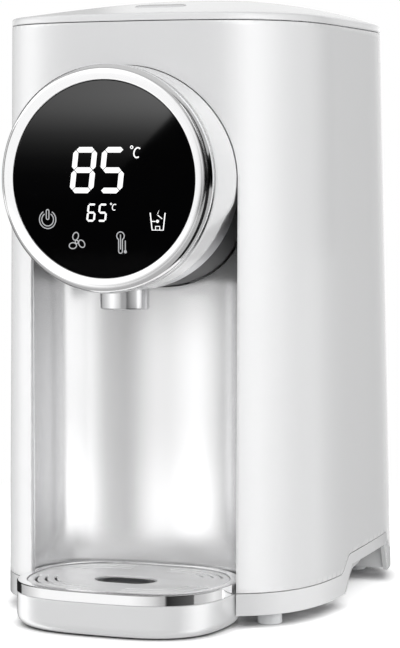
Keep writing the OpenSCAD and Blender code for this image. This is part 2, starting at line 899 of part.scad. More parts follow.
module pump_impeller() {
    base = chamber_base + chamber_wall + 1;
    color("orange") in_place() translate([pump_x, pump_y, 0]) {
        upright(shaft_diameter / 2, motor_base + 5, base + 6);
        upright(impeller_diameter / 2, base, base + 1);
        upright(3.5, base, base + 7);
        for (a = [0 : 60 : 300]) rotate([0, 0, a])
            block([2, impeller_diameter / 2 - 0.5], [-0.6, 0.6], [base, base + 7]);
    }
}

module suction_hose() {
    color("ivory") in_place()
        tube(hose_radius + 0.6, hose_bore, cover_top, pot_floor_height - 1, pump_x, pump_y);
}

module riser_hose() {
    start = [outlet_x, pump_y - pump_radius - 1, outlet_z];
    route = [
        start,
        [outlet_x, riser_y, outlet_z],
        [outlet_x, riser_y, riser_turn],
        [outlet_x, 19 - nozzle_reach, riser_turn],
        [0, -nozzle_reach, nozzle_top + 24],
        [0, -nozzle_reach, nozzle_top]
    ];
    bore_route = concat([start + [0, 5, 0]], [for (i = [1 : 4]) route[i]], [route[5] - [0, 0, 5]]);
    color("ivory") in_place() difference() {
        swept_line(rounded_route(route, hose_bend), hose_radius);
        swept_line(rounded_route(bore_route, hose_bend), hose_bore);
    }
}

// ---------- Electrics and cooling ----------

module control_board() {
    color("darkgreen") in_place() {
        translate(board_place) cube(board_size);
        for (x = [4, board_size[0] - 4], y = [4, board_size[1] - 4])
            upright(3, plate_top, board_place[2], board_place[0] + x, board_place[1] + y);
    }
}

module on_board() {
    in_place() translate([board_place[0], board_place[1], board_level]) children();
}

module transformer() {
    top = transformer_height - bobbin_flange;
    color("goldenrod") on_board() {
        block(transformer_x, transformer_y, [0, bobbin_flange]);
        block([transformer_x[0] + bobbin_flange, transformer_x[1] - bobbin_flange],
            [transformer_y[0] - coil_bulge, transformer_y[1] + coil_bulge], [bobbin_flange, top]);
        block(transformer_x, transformer_y, [top, transformer_height]);
    }
}

module relay() {
    color("royalblue") on_board() block(relay_x, relay_y, [0, relay_height]);
}

module capacitors() {
    color("black") on_board() {
        for (x = capacitor_x) upright(capacitor_radius, 0, capacitor_height, x, capacitor_y);
        upright(main_capacitor_radius, 0, main_capacitor_height, main_capacitor[0], main_capacitor[1]);
    }
}

module ribbon_cable() {
    t = ribbon_thickness;
    low = plate_top + 0.4;
    rise_y = niche_rear + ribbon_play;
    end_y = board_place[1] + 2;
    color("grey") in_place() {
        block(ribbon_x, [rise_y, end_y], [low, low + t]);
        block(ribbon_x, [end_y - t, end_y], [low, board_place[2]]);
        block(ribbon_x, [rise_y, rise_y + t], [low, ribbon_high + t]);
        block(ribbon_x, [-board_back, rise_y + t], [ribbon_high, ribbon_high + t]);
    }
}

module fan_frame() {
    color("black") in_place() translate([fan_place[0], fan_place[1], fan_base]) {
        difference() {
            union() {
                block([-fan_size / 2, fan_size / 2], [-fan_size / 2, fan_size / 2], [0, fan_depth]);
                for (x = fan_corners, y = fan_corners) upright(4, plate_top - fan_base, 1, x, y);
            }
            upright(fan_duct_radius, -1, fan_depth + 1);
            for (x = fan_corners, y = fan_corners)
                upright(2.1, plate_top - fan_base - 1, fan_depth + 1, x, y);
        }
        upright(fan_hub_radius - 2, 0, 2);
        for (a = [45, 135]) rotate([0, 0, a])
            block([-fan_duct_radius - 1, fan_duct_radius + 1], [-1.2, 1.2], [0, 1.6]);
        upright(fan_pin_radius, 1, fan_depth - 3);
    }
}

module fan_rotor() {
    color("dimgrey") in_place() translate([fan_place[0], fan_place[1], fan_base]) difference() {
        union() {
            upright(fan_hub_radius, 3, fan_depth - 1);
            intersection() {
                for (i = [0 : fan_blades - 1]) rotate([0, 0, 360 / fan_blades * i])
                    translate([0, 0, fan_depth / 2 + 1]) rotate([38, 0, 0])
                        block([fan_hub_radius - 2, fan_duct_radius], [-7, 7], [-0.7, 0.7]);
                upright(fan_duct_radius - 1, 3, fan_depth - 1);
            }
        }
        upright(fan_pin_radius + running_gap, 0, fan_depth - 2.6);
    }
}

module power_inlet() {
    color("black") in_place() difference() {
        inlet_frame() difference() {
            union() {
                translate([0, 0, -1]) linear_extrude(inlet_depth + 1) square(inlet_housing, center = true);
                translate([0, 0, -1]) linear_extrude(3) square(inlet_flange, center = true);
            }
            translate([0, 0, -2]) linear_extrude(inlet_depth - 1) square(inlet_opening, center = true);
            blade_set(50);
        }
        inlet_seat_cut();
    }
}

// Frame of the inlet: its +Z runs into the body
module inlet_frame() {
    translate([inlet_x, inlet_face, inlet_z]) rotate([90, 0, 0]) children();
}

// Three blades: the middle one stands higher
module blade_set(length) {
    linear_extrude(length) for (i = [-1, 0, 1])
        translate([7 * i, i == 0 ? 2 : -2]) square([2, 4], center = true);
}

// The body's own wall, taken out of the inlet's flange so that the flange lies on it
module inlet_seat_cut() {
    difference() {
        intersection() {
            body_form(foot_height, lid_line, 0);
            block([inlet_x - 50, inlet_x + 50], [0, far], [0, 80]);
        }
        inlet_frame() linear_extrude(60, center = true) square(inlet_housing, center = true);
    }
}

module inlet_blades() {
    color("silver") in_place() inlet_frame() translate([0, 0, blade_depth])
        blade_set(inlet_depth + 4 - blade_depth);
}

// ---------- Hinge and latch ----------

module hinge_bracket() {
    outer = hinge_pin_length / 2;
    foot = hinge_z - 20;
    web_y = -hinge_radius - 4;
    color("white") in_place() difference() {
        union() {
            for (side = [-1, 1]) {
                x = side > 0 ? [arm_half + lug_gap, outer] : [-outer, -arm_half - lug_gap];
                translate([x[0], hinge_y, hinge_z]) rotate([0, 90, 0])
                    cylinder(r = hinge_radius, h = x[1] - x[0]);
                translate([x[0], hinge_y, hinge_z]) rotate([90, 0, 90]) linear_extrude(x[1] - x[0]) polygon([
                    [web_y, -1.8], [hinge_radius - 0.4, -1.8], [-2.2, -14], [web_y, -14]
                ]);
            }
            intersection() {
                block([-outer, outer], [0, far], [foot, hinge_z - hinge_radius - 1.2]);
                body_form(foot - 1, lid_line, -2.4);
            }
        }
        translate([-50, hinge_y, hinge_z]) rotate([0, 90, 0]) cylinder(r = pin_radius, h = 100);
        body_form(foot_height, lid_line + tiny, 0);
    }
}

module hinge_pin() {
    color("silver") in_place() translate([-hinge_pin_length / 2, hinge_y, hinge_z]) rotate([0, 90, 0])
        cylinder(r = pin_radius, h = hinge_pin_length);
}

module latch_keeper() {
    x = [-hook_half - 3, hook_half + 3];
    low = hook_bottom + hook_nose + 0.4;
    back_y = hook_tip_y - 4.5;
    color("silver") in_place() {
        block(x, [back_y, back_y + 3], [deck_top, low + keeper_thickness]);
        block(x, [back_y, keeper_edge_y], [low, low + keeper_thickness]);
    }
}

// ---------- Lid ----------

// Height of the dome where the outline has shrunk to the share s
function dome_height(s, top) = dome_shoulder + (top - dome_shoulder) * (1 - pow(s, 2.3));
function lid_ring(s, inset) = [for (p = body_ring(lid_line, 0)) p * s * (1 - inset / (body_depth_top / 2))];

module lid_form(bottom, top, inset) {
    loft([
        at_height(body_ring(lid_line, inset), bottom),
        at_height(body_ring(lid_line, inset), lid_line + lid_rim - inset / 2),
        at_height(body_ring(lid_line, inset + 0.5), lid_line + lid_rim + 1.1 - inset / 2),
        for (s = [0.985, 0.95, 0.9, 0.82, 0.72, 0.6, 0.46, 0.3, 0.12])
            at_height(lid_ring(s, inset), dome_height(s, top) - (s > 0.9 ? inset * 0.6 : 0))
    ]);
}

module button_hole(z0, z1, grow) {
    translate([0, button_y, z0]) linear_extrude(z1 - z0) oblong(button_length + grow, button_width + grow);
}

module lid_cover() {
    color("white") in_place() difference() {
        lid_form(lid_line + parting_gap / 2, total_height, 0);
        lid_form(lid_line - 1, total_height - lid_wall, lid_wall);
        button_hole(lid_line, total_height + 5, 2 * button_gap);
        upright(steam_radius, lid_line, total_height + 5, 0, steam_y);
    }
}

module lid_liner() {
    color("whitesmoke") in_place() difference() {
        union() {
            translate([0, 0, liner_bottom]) linear_extrude(liner_thickness)
                polygon(body_ring(lid_line, lid_wall + cover_gap));
            upright(plug_radius, deck_top - plug_depth, liner_top, 0, pot_axis);
            for (p = lid_screw_places) upright(3.5, liner_top - 1, liner_top + lid_boss_height, p[0], p[1]);
        }
        upright(plug_radius - plug_wall, deck_top - plug_depth + plug_wall, liner_top + 10, 0, pot_axis);
        block([-hook_half - 0.6, hook_half + 0.6], [hook_leg_y - 3, hook_leg_y + 2 + button_travel + 0.6],
            [liner_bottom - 1, liner_top + 1]);
        block([-ramp_half - 0.6, ramp_half + 0.6], [ramp_y - 2.4, ramp_y + 5],
            [liner_bottom - 1, liner_top + 1]);
        for (p = lid_screw_places) upright(small_screw_radius, liner_bottom - 1, liner_top + 10, p[0], p[1]);
        for (a = [0 : 45 : 315]) upright(1.8, 0, total_height, 6 * cos(a), steam_y + 6 * sin(a));
    }
}

module lid_gasket() {
    color("lightgrey") in_place()
        tube(pot_radius + rim_width - 0.5, plug_radius, seal_top + 0.15, liner_bottom, 0, pot_axis);
}

module lid_hinge_arm() {
    color("white") in_place() difference() {
        union() {
            translate([-arm_half, hinge_y, hinge_z]) rotate([0, 90, 0])
                cylinder(r = hinge_radius, h = 2 * arm_half);
            block([-arm_half, arm_half], [hinge_y - 12, hinge_y],
                [lid_line + parting_gap, hinge_z + hinge_radius]);
        }
        translate([-50, hinge_y, hinge_z]) rotate([0, 90, 0]) cylinder(r = pin_radius + running_gap, h = 100);
        lid_form(lid_line - 5, total_height, 0);
    }
}

module steam_cap() {
    top = dome_height(steam_y / (body_depth_top / 2), total_height) + 0.6;
    color("lightgrey") in_place() difference() {
        upright(steam_radius - 0.2, liner_top, top, 0, steam_y);
        upright(steam_radius - 2, liner_top - 1, top - 1.6, 0, steam_y);
        for (y = [-6.4 : 3.2 : 6.4]) translate([0, steam_y + y, top - 3]) linear_extrude(5)
            oblong(2 * sqrt(pow(steam_radius - 2, 2) - y * y) - 1, 1.4);
    }
}

module lid_screws() {
    color("silver") in_place() for (p = lid_screw_places) {
        upright(small_head_radius, liner_bottom - 1.6, liner_bottom, p[0], p[1]);
        upright(small_screw_radius, liner_bottom, liner_top + lid_boss_height, p[0], p[1]);
    }
}

module lid_button() {
    color("gainsboro") in_place() {
        button_hole(flange_top - flange_thickness, button_top, 0);
        translate([0, button_y, flange_top - flange_thickness])
            linear_extrude(flange_thickness) oblong(button_length + button_skirt,
                button_width + button_skirt);
        block([-ramp_half, ramp_half], [ramp_y - 1.8, button_y - button_width / 2 - 2],
            [ramp_top, ramp_top + tab_thickness]);
        ramp_prism(ramp_half, [
            [ramp_y - 1.8, ramp_low], [ramp_y, ramp_low],
            [ramp_y + ramp_top - ramp_low, ramp_top + tiny], [ramp_y - 1.8, ramp_top + tiny]
        ]);
    }
}

// Side profile in y and z, as thick across as twice the half width
module ramp_prism(half, profile) {
    rotate([90, 0, 90]) translate([0, 0, -half]) linear_extrude(2 * half) polygon(profile);
}

module button_spring() {
    color("silver") in_place() tube(spring_radius, spring_radius - 1.2, liner_top, spring_top, 0, button_y);
}

module latch_hook() {
    color("grey") in_place() {
        difference() {
            block([-hook_half, hook_half], [hook_leg_y - 2, ramp_y + 5], [bar_low, bar_top]);
            ramp_prism(ramp_half + ramp_play, [
                [ramp_y - 5, bar_low - 1],
                [ramp_y + ramp_play + bar_low - 1 - ramp_low, bar_low - 1],
                [ramp_y + ramp_play + bar_top + 1 - ramp_low, bar_top + 1],
                [ramp_y - 5, bar_top + 1]
            ]);
        }
        block([-hook_half, hook_half], [hook_leg_y - 2, hook_leg_y + 2], [hook_bottom, bar_top]);
        block([-hook_half, hook_half], [hook_tip_y, hook_leg_y], [hook_bottom, hook_bottom + hook_nose]);
    }
}

// ---------- Drip tray ----------

// Outline of the tray: a blunt oval front and two large rear corners that follow the niche
function tray_outline(inset) = concat(
    [for (t = [180 : 5 : 360])
        super_point(tray_half - inset, tray_nose - inset, t, tray_roundness[0], tray_roundness[1])
        - [0, niche_edge]],
    [for (t = [5 : 5 : 90])
        [niche_straight + (tray_back_radius - inset) * cos(t),
            -niche_edge + (tray_back_radius - inset) * sin(t)]],
    [for (t = [90 : 5 : 175])
        [-niche_straight + (tray_back_radius - inset) * cos(t),
            -niche_edge + (tray_back_radius - inset) * sin(t)]]
);

module tray_slab(z0, z1, inset) {
    translate([0, 0, z0]) linear_extrude(z1 - z0) polygon(tray_outline(inset));
}

module drip_tray() {
    r = tray_edge_round;
    color("white") in_place() {
        difference() {
            union() {
                loft(concat(
                    [for (a = [0 : 22.5 : 90])
                        at_height(tray_outline(r * (1 - sin(a))), tray_lift + r * (1 - cos(a)))],
                    [at_height(tray_outline(0), band_bottom)]
                ));
                tray_slab(band_bottom - 1, ledge_top, 1.4);
            }
            tray_slab(tray_lift + tray_wall, tray_top, tray_wall + 1.4);
        }
        upright(float_post_radius, tray_lift + tray_wall - 1, float_top - float_skin - 0.1, 0, window_y);
        difference() {
            tray_slab(ledge_top - 2, ledge_top, 2);
            tray_slab(0, tray_top, tray_rim + 1.8);
        }
    }
}

module tray_band() {
    color("silver") in_place() {
        difference() {
            tray_slab(band_bottom, tray_top, 0);
            tray_slab(0, ledge_top, 1.4);
            tray_slab(0, tray_top + 1, tray_rim - 0.4);
        }
    }
}

module tray_grille() {
    color("lightsteelblue") in_place() difference() {
        tray_slab(ledge_top, grille_top, tray_rim);
        for (k = [0 : slot_rings - 1]) {
            inset = tray_rim + slot_margin + slot_pitch * k;
            difference() {
                tray_slab(0, tray_top + 1, inset);
                tray_slab(0, tray_top + 2, inset + slot_width);
                for (y = [-10, 10]) block([-far, far],
                    [-niche_edge + y - bridge, -niche_edge + y + bridge], [0, 60]);
                for (x = [-8, 8]) block([x - bridge, x + bridge], [-far, 0], [0, 60]);
            }
        }
        translate([0, window_y, 0]) linear_extrude(60) oblong(window_length, window_width);
    }
}

module tray_float() {
    color("black") in_place() difference() {
        translate([0, window_y, float_top - float_height]) linear_extrude(float_height)
            oblong(window_length - 2 * float_gap, window_width - 2 * float_gap);
        upright(float_post_radius + 0.1, 0, float_top - float_skin, 0, window_y);
        translate([0, window_y, float_top - 1]) linear_extrude(2)
            oblong(window_length - 8, window_width - 8);
    }
}

outer_shell();
base_plinth();
bottom_plate();
rubber_feet();
base_screws();
niche_panel();
head_barrel();
trim_ring();
bezel_ring();
glass_panel();
display_board();
digit_module();
touch_springs();
board_screws();
nozzle();
nozzle_seal();
top_deck();
inner_pot();
pot_seal();
heater_plate();
heater_element();
warming_band();
thermostat();
thermal_fuse();
water_sensor();
pump_chamber();
pump_cover();
pump_motor();
suction_hose();
riser_hose();
control_board();
transformer();
relay();
capacitors();
ribbon_cable();
fan_frame();
power_inlet();
inlet_blades();
hinge_bracket();
hinge_pin();
latch_keeper();
lid_cover();
lid_liner();
lid_gasket();
lid_hinge_arm();
steam_cap();
lid_screws();
lid_button();
button_spring();
latch_hook();
drip_tray();
tray_band();
tray_grille();
tray_float();
pump_impeller();
fan_rotor();
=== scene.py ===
"""Looks of the electric thermo pot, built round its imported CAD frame.

Metres, +Z up, the tap side toward -Y. Places come from the frame's boxes and the sizes below.
"""

import math

import bmesh
import bpy
import numpy as np
from mathutils import Matrix, Vector


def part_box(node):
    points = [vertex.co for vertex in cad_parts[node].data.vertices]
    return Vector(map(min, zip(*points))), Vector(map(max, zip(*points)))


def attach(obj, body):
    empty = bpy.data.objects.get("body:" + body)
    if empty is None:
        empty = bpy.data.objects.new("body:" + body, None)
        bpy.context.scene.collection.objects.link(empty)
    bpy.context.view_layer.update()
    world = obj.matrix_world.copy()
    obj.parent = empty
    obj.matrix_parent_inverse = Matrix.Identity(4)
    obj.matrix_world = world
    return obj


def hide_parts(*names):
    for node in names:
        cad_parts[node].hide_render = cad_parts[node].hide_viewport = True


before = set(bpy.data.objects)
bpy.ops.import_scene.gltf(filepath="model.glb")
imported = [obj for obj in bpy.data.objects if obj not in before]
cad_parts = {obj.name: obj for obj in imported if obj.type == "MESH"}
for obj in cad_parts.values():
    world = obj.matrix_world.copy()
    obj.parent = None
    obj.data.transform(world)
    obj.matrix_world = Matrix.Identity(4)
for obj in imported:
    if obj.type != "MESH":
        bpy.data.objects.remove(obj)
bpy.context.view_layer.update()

# ---------- Sizes ----------

WIDTH_AT_TABLE = 0.1952
FRONT_LEAN = 0.0023
REAR_LEAN = 0.0196
SIDE_ROUNDNESS = 2.6
FRONT_ROUNDNESS = 4.3
SHELL_WALL = 0.0025
PARTING_GAP = 0.0005
COVER_GAP = 0.0003

PLINTH_HEIGHT = 0.0124
HOLD_RISE = 0.0152
HOLD_SLANT = 0.0018
HOLD_BAND = 0.0069
HOLD_FRONT = -0.0125
HOLD_REAR = 0.060
HOLD_LEAD = 0.009
HOLD_RAMP = 0.017
HOLD_TAIL = 0.003
HOLD_DROP = 0.009
HOLD_DEPTH = 0.029
HOLD_SPREAD = 0.005
HOLD_WALL = 0.002
HOLD_END = 0.008

NICHE_WIDTH = 0.1236
NICHE_DEPTH = 0.0442
NICHE_EDGE = 0.1032
NICHE_ROUNDNESS = 2.7
PANEL_WALL = 0.0012

LID_RIM = 0.0034
LID_SHOULDER = 0.0042
LID_WALL = 0.0022
DOME_POWER = 2.4
DOME_LEAN = 1.2
CROWN_ROUNDNESS = 2.0

TRAY_GAP = 0.0009
TRAY_WALL = 0.0024
TRAY_RIM = 0.0056
TRAY_STEP = 0.0014
TRAY_EDGE_ROUND = 0.0062
TRAY_ROUNDNESS = (3.06, 2.87)
SLOT_WIDTH = 0.0016
SLOT_PITCH = 0.005
SLOT_MARGIN = 0.0034
SLOT_RINGS = 3
SIDE_BRIDGE = 0.0135
REAR_BRIDGE = 0.0115
FRONT_BRIDGE_SHARE = 0.9
WINDOW_SIZE = (0.036, 0.022)
GRILLE_EDGE = 0.0002

LID_LOW, LID_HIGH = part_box("lid_cover")
SHELL_LOW, SHELL_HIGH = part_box("outer_shell")
BEZEL_LOW, BEZEL_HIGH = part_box("bezel_ring")
TRIM_LOW, TRIM_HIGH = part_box("trim_ring")
GLASS_LOW, GLASS_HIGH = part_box("glass_panel")
BARREL_LOW, BARREL_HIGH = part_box("head_barrel")
NOZZLE_LOW, NOZZLE_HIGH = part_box("nozzle")
BAND_LOW, BAND_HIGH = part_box("tray_band")
GRILLE_LOW, GRILLE_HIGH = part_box("tray_grille")
FLOAT_LOW, FLOAT_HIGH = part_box("tray_float")

MIDDLE = (LID_LOW.y + LID_HIGH.y) / 2
LID_LINE = LID_LOW.z - PARTING_GAP / 2
CROWN = LID_HIGH.z
FOOT_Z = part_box("base_plinth")[0].z
PLATE_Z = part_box("bottom_plate")[0].z
HEAD_Z = (GLASS_LOW.z + GLASS_HIGH.z) / 2
HEAD_RADIUS = NICHE_WIDTH / 2
GLASS_RADIUS = (GLASS_HIGH.z - GLASS_LOW.z) / 2
GLASS_FACE = GLASS_LOW.y
NICHE_HALF = NICHE_WIDTH / 2
NICHE_STRAIGHT = NICHE_HALF - NICHE_DEPTH
NICHE_Y = MIDDLE - NICHE_EDGE
OPENING = HEAD_RADIUS + COVER_GAP
TRAY_HALF = (BAND_HIGH.x - BAND_LOW.x) / 2
TRAY_NOSE = NICHE_Y - BAND_LOW.y
FLOAT_Y = (FLOAT_LOW.y + FLOAT_HIGH.y) / 2


# ---------- Mesh helpers ----------

SMOOTH_ANGLE = 35
BEVEL_ANGLE = 40
WELD = 1e-7
CUT_MARGIN = 0.01


def new_object(name, data):
    obj = bpy.data.objects.new(name, data)
    bpy.context.scene.collection.objects.link(obj)
    return obj


def new_mesh(name, verts, faces):
    mesh = bpy.data.meshes.new(name)
    mesh.from_pydata([tuple(v) for v in verts], [], [tuple(f) for f in faces])
    return mesh


def clean_mesh(mesh, weld=0.0):
    """Joins the points within the weld distance and turns all faces outwards."""
    bm = bmesh.new()
    bm.from_mesh(mesh)
    if weld:
        bmesh.ops.remove_doubles(bm, verts=bm.verts, dist=weld)
    bmesh.ops.recalc_face_normals(bm, faces=bm.faces)
    bm.to_mesh(mesh)
    bm.free()


def smooth(mesh, angle=SMOOTH_ANGLE):
    """Soft shading, with sharp edges from an angle in degrees."""
    mesh.shade_smooth()
    mesh.set_sharp_from_angle(angle=math.radians(angle))


def plain_object(name, verts, faces):
    mesh = new_mesh(name, verts, faces)
    clean_mesh(mesh)
    return new_object(name, mesh)


def piece(name, verts, faces, body, slot, material, nodes=(), angle=SMOOTH_ANGLE):
    """New mesh piece that rides on a body, takes a finish and stands for CAD nodes; the slot is not
    used.
    """
    return finish_piece(name, new_mesh(name, verts, faces), body, slot, material, nodes, angle)


def finish_piece(name, mesh, body, slot, material, nodes=(), angle=SMOOTH_ANGLE):
    clean_mesh(mesh, WELD)
    obj = new_object(name, mesh)
    smooth(mesh, angle)
    mesh.materials.clear()
    mesh.materials.append(material)
    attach(obj, body)
    if nodes:
        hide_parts(*nodes)
    return obj


def modify(obj, name, kind, **values):
    modifier = obj.modifiers.new(name, kind)
    for key, value in values.items():
        setattr(modifier, key, value)


def evaluated_mesh(obj):
    graph = bpy.context.evaluated_depsgraph_get()
    return bpy.data.meshes.new_from_object(obj.evaluated_get(graph))


def bake_modifiers(obj):
    """Puts the result of the modifiers into the mesh."""
    mesh = evaluated_mesh(obj)
    obj.modifiers.clear()
    obj.data = mesh
    return obj


def round_edges(obj, width, segments=3):
    """Rounds the sharp edges and keeps the large faces' shading flat."""
    modify(
        obj, "Bevel", "BEVEL", width=width, segments=segments, limit_method="ANGLE",
        angle_limit=math.radians(BEVEL_ANGLE), use_clamp_overlap=True,
    )
    modify(obj, "Weighted", "WEIGHTED_NORMAL", keep_sharp=False, weight=80)
    return bake_modifiers(obj)


def cut(obj, cutter, thorough=False):
    """Takes the cutter away from obj, and deletes the cutter."""
    modify(
        obj, "Cut", "BOOLEAN", operation="DIFFERENCE", solver="EXACT", use_self=thorough,
        object=cutter,
    )
    smooth(bake_modifiers(obj).data)
    bpy.data.objects.remove(cutter)
    return obj


def grid_faces(rows, columns, first=0, closed=False):
    """Quads of a grid whose points are stored row by row."""
    faces = []
    for i in range(rows - 1):
        for j in range(columns if closed else columns - 1):
            k = (j + 1) % columns
            a = first + i * columns
            faces.append((a + j, a + k, a + columns + k, a + columns + j))
    return faces


def thicken(outer, inner, faces):
    """Closes a sheet and its inner copy into one solid, with a strip along every open edge."""
    outer = np.asarray(outer).reshape(-1, 3)
    inner = np.asarray(inner).reshape(-1, 3)
    keys = {}
    index = []
    kept_outer, kept_inner = [], []
    for o, i in zip(outer, inner):
        key = tuple(np.round(o, 7))
        if key not in keys:
            keys[key] = len(kept_outer)
            kept_outer.append(o)
            kept_inner.append(i)
        index.append(keys[key])
    faces = [tuple(index[v] for v in f) for f in faces]
    edges = {}
    for f in faces:
        for a, b in zip(f, f[1:] + f[:1]):
            edges[frozenset((a, b))] = None if frozenset((a, b)) in edges else (a, b)
    n = len(kept_outer)
    solid = list(faces)
    solid += [tuple(n + v for v in reversed(f)) for f in faces]
    solid += [(b, a, n + a, n + b) for a, b in filter(None, edges.values())]
    return kept_outer + kept_inner, solid


def ring_stack(rows, hollow=False):
    """Solid through closed rings of points. Its ends are flat, or joined to each other."""
    n = len(rows[0])
    last = (len(rows) - 1) * n
    faces = grid_faces(len(rows), n, closed=True)
    if hollow:
        faces += [(last + j, last + (j + 1) % n, (j + 1) % n, j) for j in range(n)]
    else:
        faces += [tuple(reversed(range(n))), tuple(range(last, last + n))]
    return [p for row in rows for p in row], faces


def double_wall(outer, inner):
    """Solid between two stacks of closed rings, joined at the first and closed over the last."""
    rows, n = len(outer), len(outer[0])
    count = rows * n
    walls = grid_faces(rows, n, closed=True)
    faces = walls + [tuple(count + v for v in reversed(f)) for f in walls]
    faces += [(j, (j + 1) % n, count + (j + 1) % n, count + j) for j in range(n)]
    faces += [tuple(range(count - n, count)), tuple(reversed(range(2 * count - n, 2 * count)))]
    return [*np.concatenate(outer), *np.concatenate(inner)], faces


def extrusion(outline, low, high):
    """Vertices and faces of a closed outline in x and y, between two heights."""
    return ring_stack([[(x, y, z) for x, y in outline] for z in (low, high)])


def between(low, high, count):
    """Even steps from low to high, where each may be a number or a line of numbers."""
    return [low + (high - low) * t for t in np.linspace(0, 1, count)]


def quarter(radius, count, start=0.0):
    """Rounding of an edge: how far in and how far up it has gone at each step of a quarter turn."""
    turns = np.linspace(start, math.pi / 2, count)
    return [(radius * (1 - math.cos(a)), radius * math.sin(a)) for a in turns]


def lengths(points):
    """Length of a line up to each of its points."""
    return np.concatenate([[0], np.cumsum(np.linalg.norm(np.diff(points, axis=0), axis=1))])


def sideways(way, width):
    """Half a width to the left of each direction."""
    way = way / np.linalg.norm(way, axis=1)[:, None]
    return np.column_stack([-way[:, 1], way[:, 0]]) * width / 2


def arc(centre, radius, start, end, steps):
    """Points of an arc in a plane, with its angles in degrees."""
    return [
        (centre[0] + radius * math.cos(a), centre[1] + radius * math.sin(a))
        for a in np.radians(np.linspace(start, end, steps + 1))
    ]


def at(middle, points):
    """Flat points, given from a middle, in their place."""
    return [(middle[0] + x, middle[1] + y) for x, y in points]


def lathe(profile, axis, centre, steps, closed=True):
    """Turns a closed profile of (radius, along) round an axis, "y" or "z", through a centre."""
    verts = []
    for k in range(steps):
        a = 2 * math.pi * k / steps
        for r, h in profile:
            u, v = r * math.cos(a), r * math.sin(a)
            local = (u, h, v) if axis == "y" else (u, v, h)
            verts.append(Vector(local) + Vector(centre))
    n = len(profile)
    faces = []
    for k in range(steps):
        m = (k + 1) % steps
        for j in range(n if closed else n - 1):
            i = (j + 1) % n
            faces.append((k * n + j, k * n + i, m * n + i, m * n + j))
    return verts, faces


def rounded(points, radii, steps=4):
    """Closed profile whose corners are rounded by arcs, with one radius for each corner."""
    result = []
    n = len(points)
    for i, (p, r) in enumerate(zip(points, radii)):
        p = Vector(p)
        if r <= 0:
            result.append(tuple(p))
            continue
        before = (Vector(points[i - 1]) - p).normalized()
        after = (Vector(points[(i + 1) % n]) - p).normalized()
        half = before.angle(after) / 2
        reach = r / math.tan(half)
        away = (before + after).normalized() * (r / math.sin(half))
        start, end = (before * reach - away).normalized(), (after * reach - away).normalized()
        result += [tuple(p + away + start.slerp(end, t) * r) for t in np.linspace(0, 1, steps + 1)]
    return result


# ---------- Material helpers ----------

class Tree:
    """Node tree of a material or the world. An input takes a value or another node's output."""

    def __init__(self, owner):
        owner.use_nodes = True
        self.owner, self.nodes, self.links = owner, owner.node_tree.nodes, owner.node_tree.links

    def fill(self, socket, value):
        if isinstance(value, bpy.types.NodeSocket):
            self.links.new(value, socket)
        else:
            socket.default_value = value

    def set(self, node, **values):
        """Sets a node's properties and its inputs by name, with _ for a space."""
        for key, value in values.items():
            name = key.replace("_", " ")
            if name in node.inputs:
                self.fill(node.inputs[name], value)
            else:
                setattr(node, key, value)
        return node

    def add(self, kind, *inputs, **values):
        """New node, with its first inputs in their order and the others by name."""
        node = self.set(self.nodes.new(kind), **values)
        for socket, value in zip(node.inputs, inputs):
            self.fill(socket, value)
        return node


def finish(
    name, dark, light, roughness, spread, scale, height, stretch=(1, 1, 1), distance=0.0001,
    **inputs,
):
    """Tree of a finish: noise varies its colour and roughness and lifts the surface a little."""
    tree = Tree(bpy.data.materials.new(name))
    place = tree.add("ShaderNodeTexCoord")
    mapping = tree.add("ShaderNodeMapping", Vector=place.outputs["Object"], Scale=stretch)
    vector = mapping.outputs["Vector"]
    noise = tree.add("ShaderNodeTexNoise", Vector=vector, Scale=scale, Detail=4.0).outputs["Fac"]
    rough = tree.add(
        "ShaderNodeMapRange", Value=noise, To_Min=roughness - spread, To_Max=roughness + spread
    )
    bump = tree.add("ShaderNodeBump", Strength=height, Distance=distance, Height=noise)
    mix = tree.add("ShaderNodeMix", data_type="RGBA", Factor=noise, A=(*dark, 1), B=(*light, 1))
    tree.set(
        tree.nodes["Principled BSDF"], Base_Color=mix.outputs["Result"],
        Roughness=rough.outputs["Result"], Normal=bump.outputs["Normal"], **inputs,
    )
    return tree


def shades(colour, wander):
    """The colour a little darker and a little lighter."""
    return [c * (1 - wander) for c in colour], [min(1.0, c * (1 + wander)) for c in colour]


def plastic(name, colour, roughness, coat=0.0, scale=900.0, height=0.02, wander=0.01):
    return finish(
        name, *shades(colour, wander), roughness, 0.03, scale, height,
        Coat_Weight=coat, Coat_Roughness=0.05,
    ).owner


def metal(
    name, colour, roughness, spread=0.05, stretch=(1, 1, 1), scale=400.0, height=0.03,
    wander=0.03, metallic=1.0,
):
    shade = shades(colour, wander)
    return finish(name, *shade, roughness, spread, scale, height, stretch, Metallic=metallic).owner


def glow(name, colour, strength):
    """Lit marking: it shines softly and is a little uneven, as a printed window over a lamp is."""
    dark, light = ([c * share for c in colour] for share in (0.2, 0.22))
    return finish(
        name, dark, light, 0.3, 0.05, 700.0, 0.01, distance=0.00005,
        Emission_Color=(*colour, 1), Emission_Strength=strength,
    ).owner


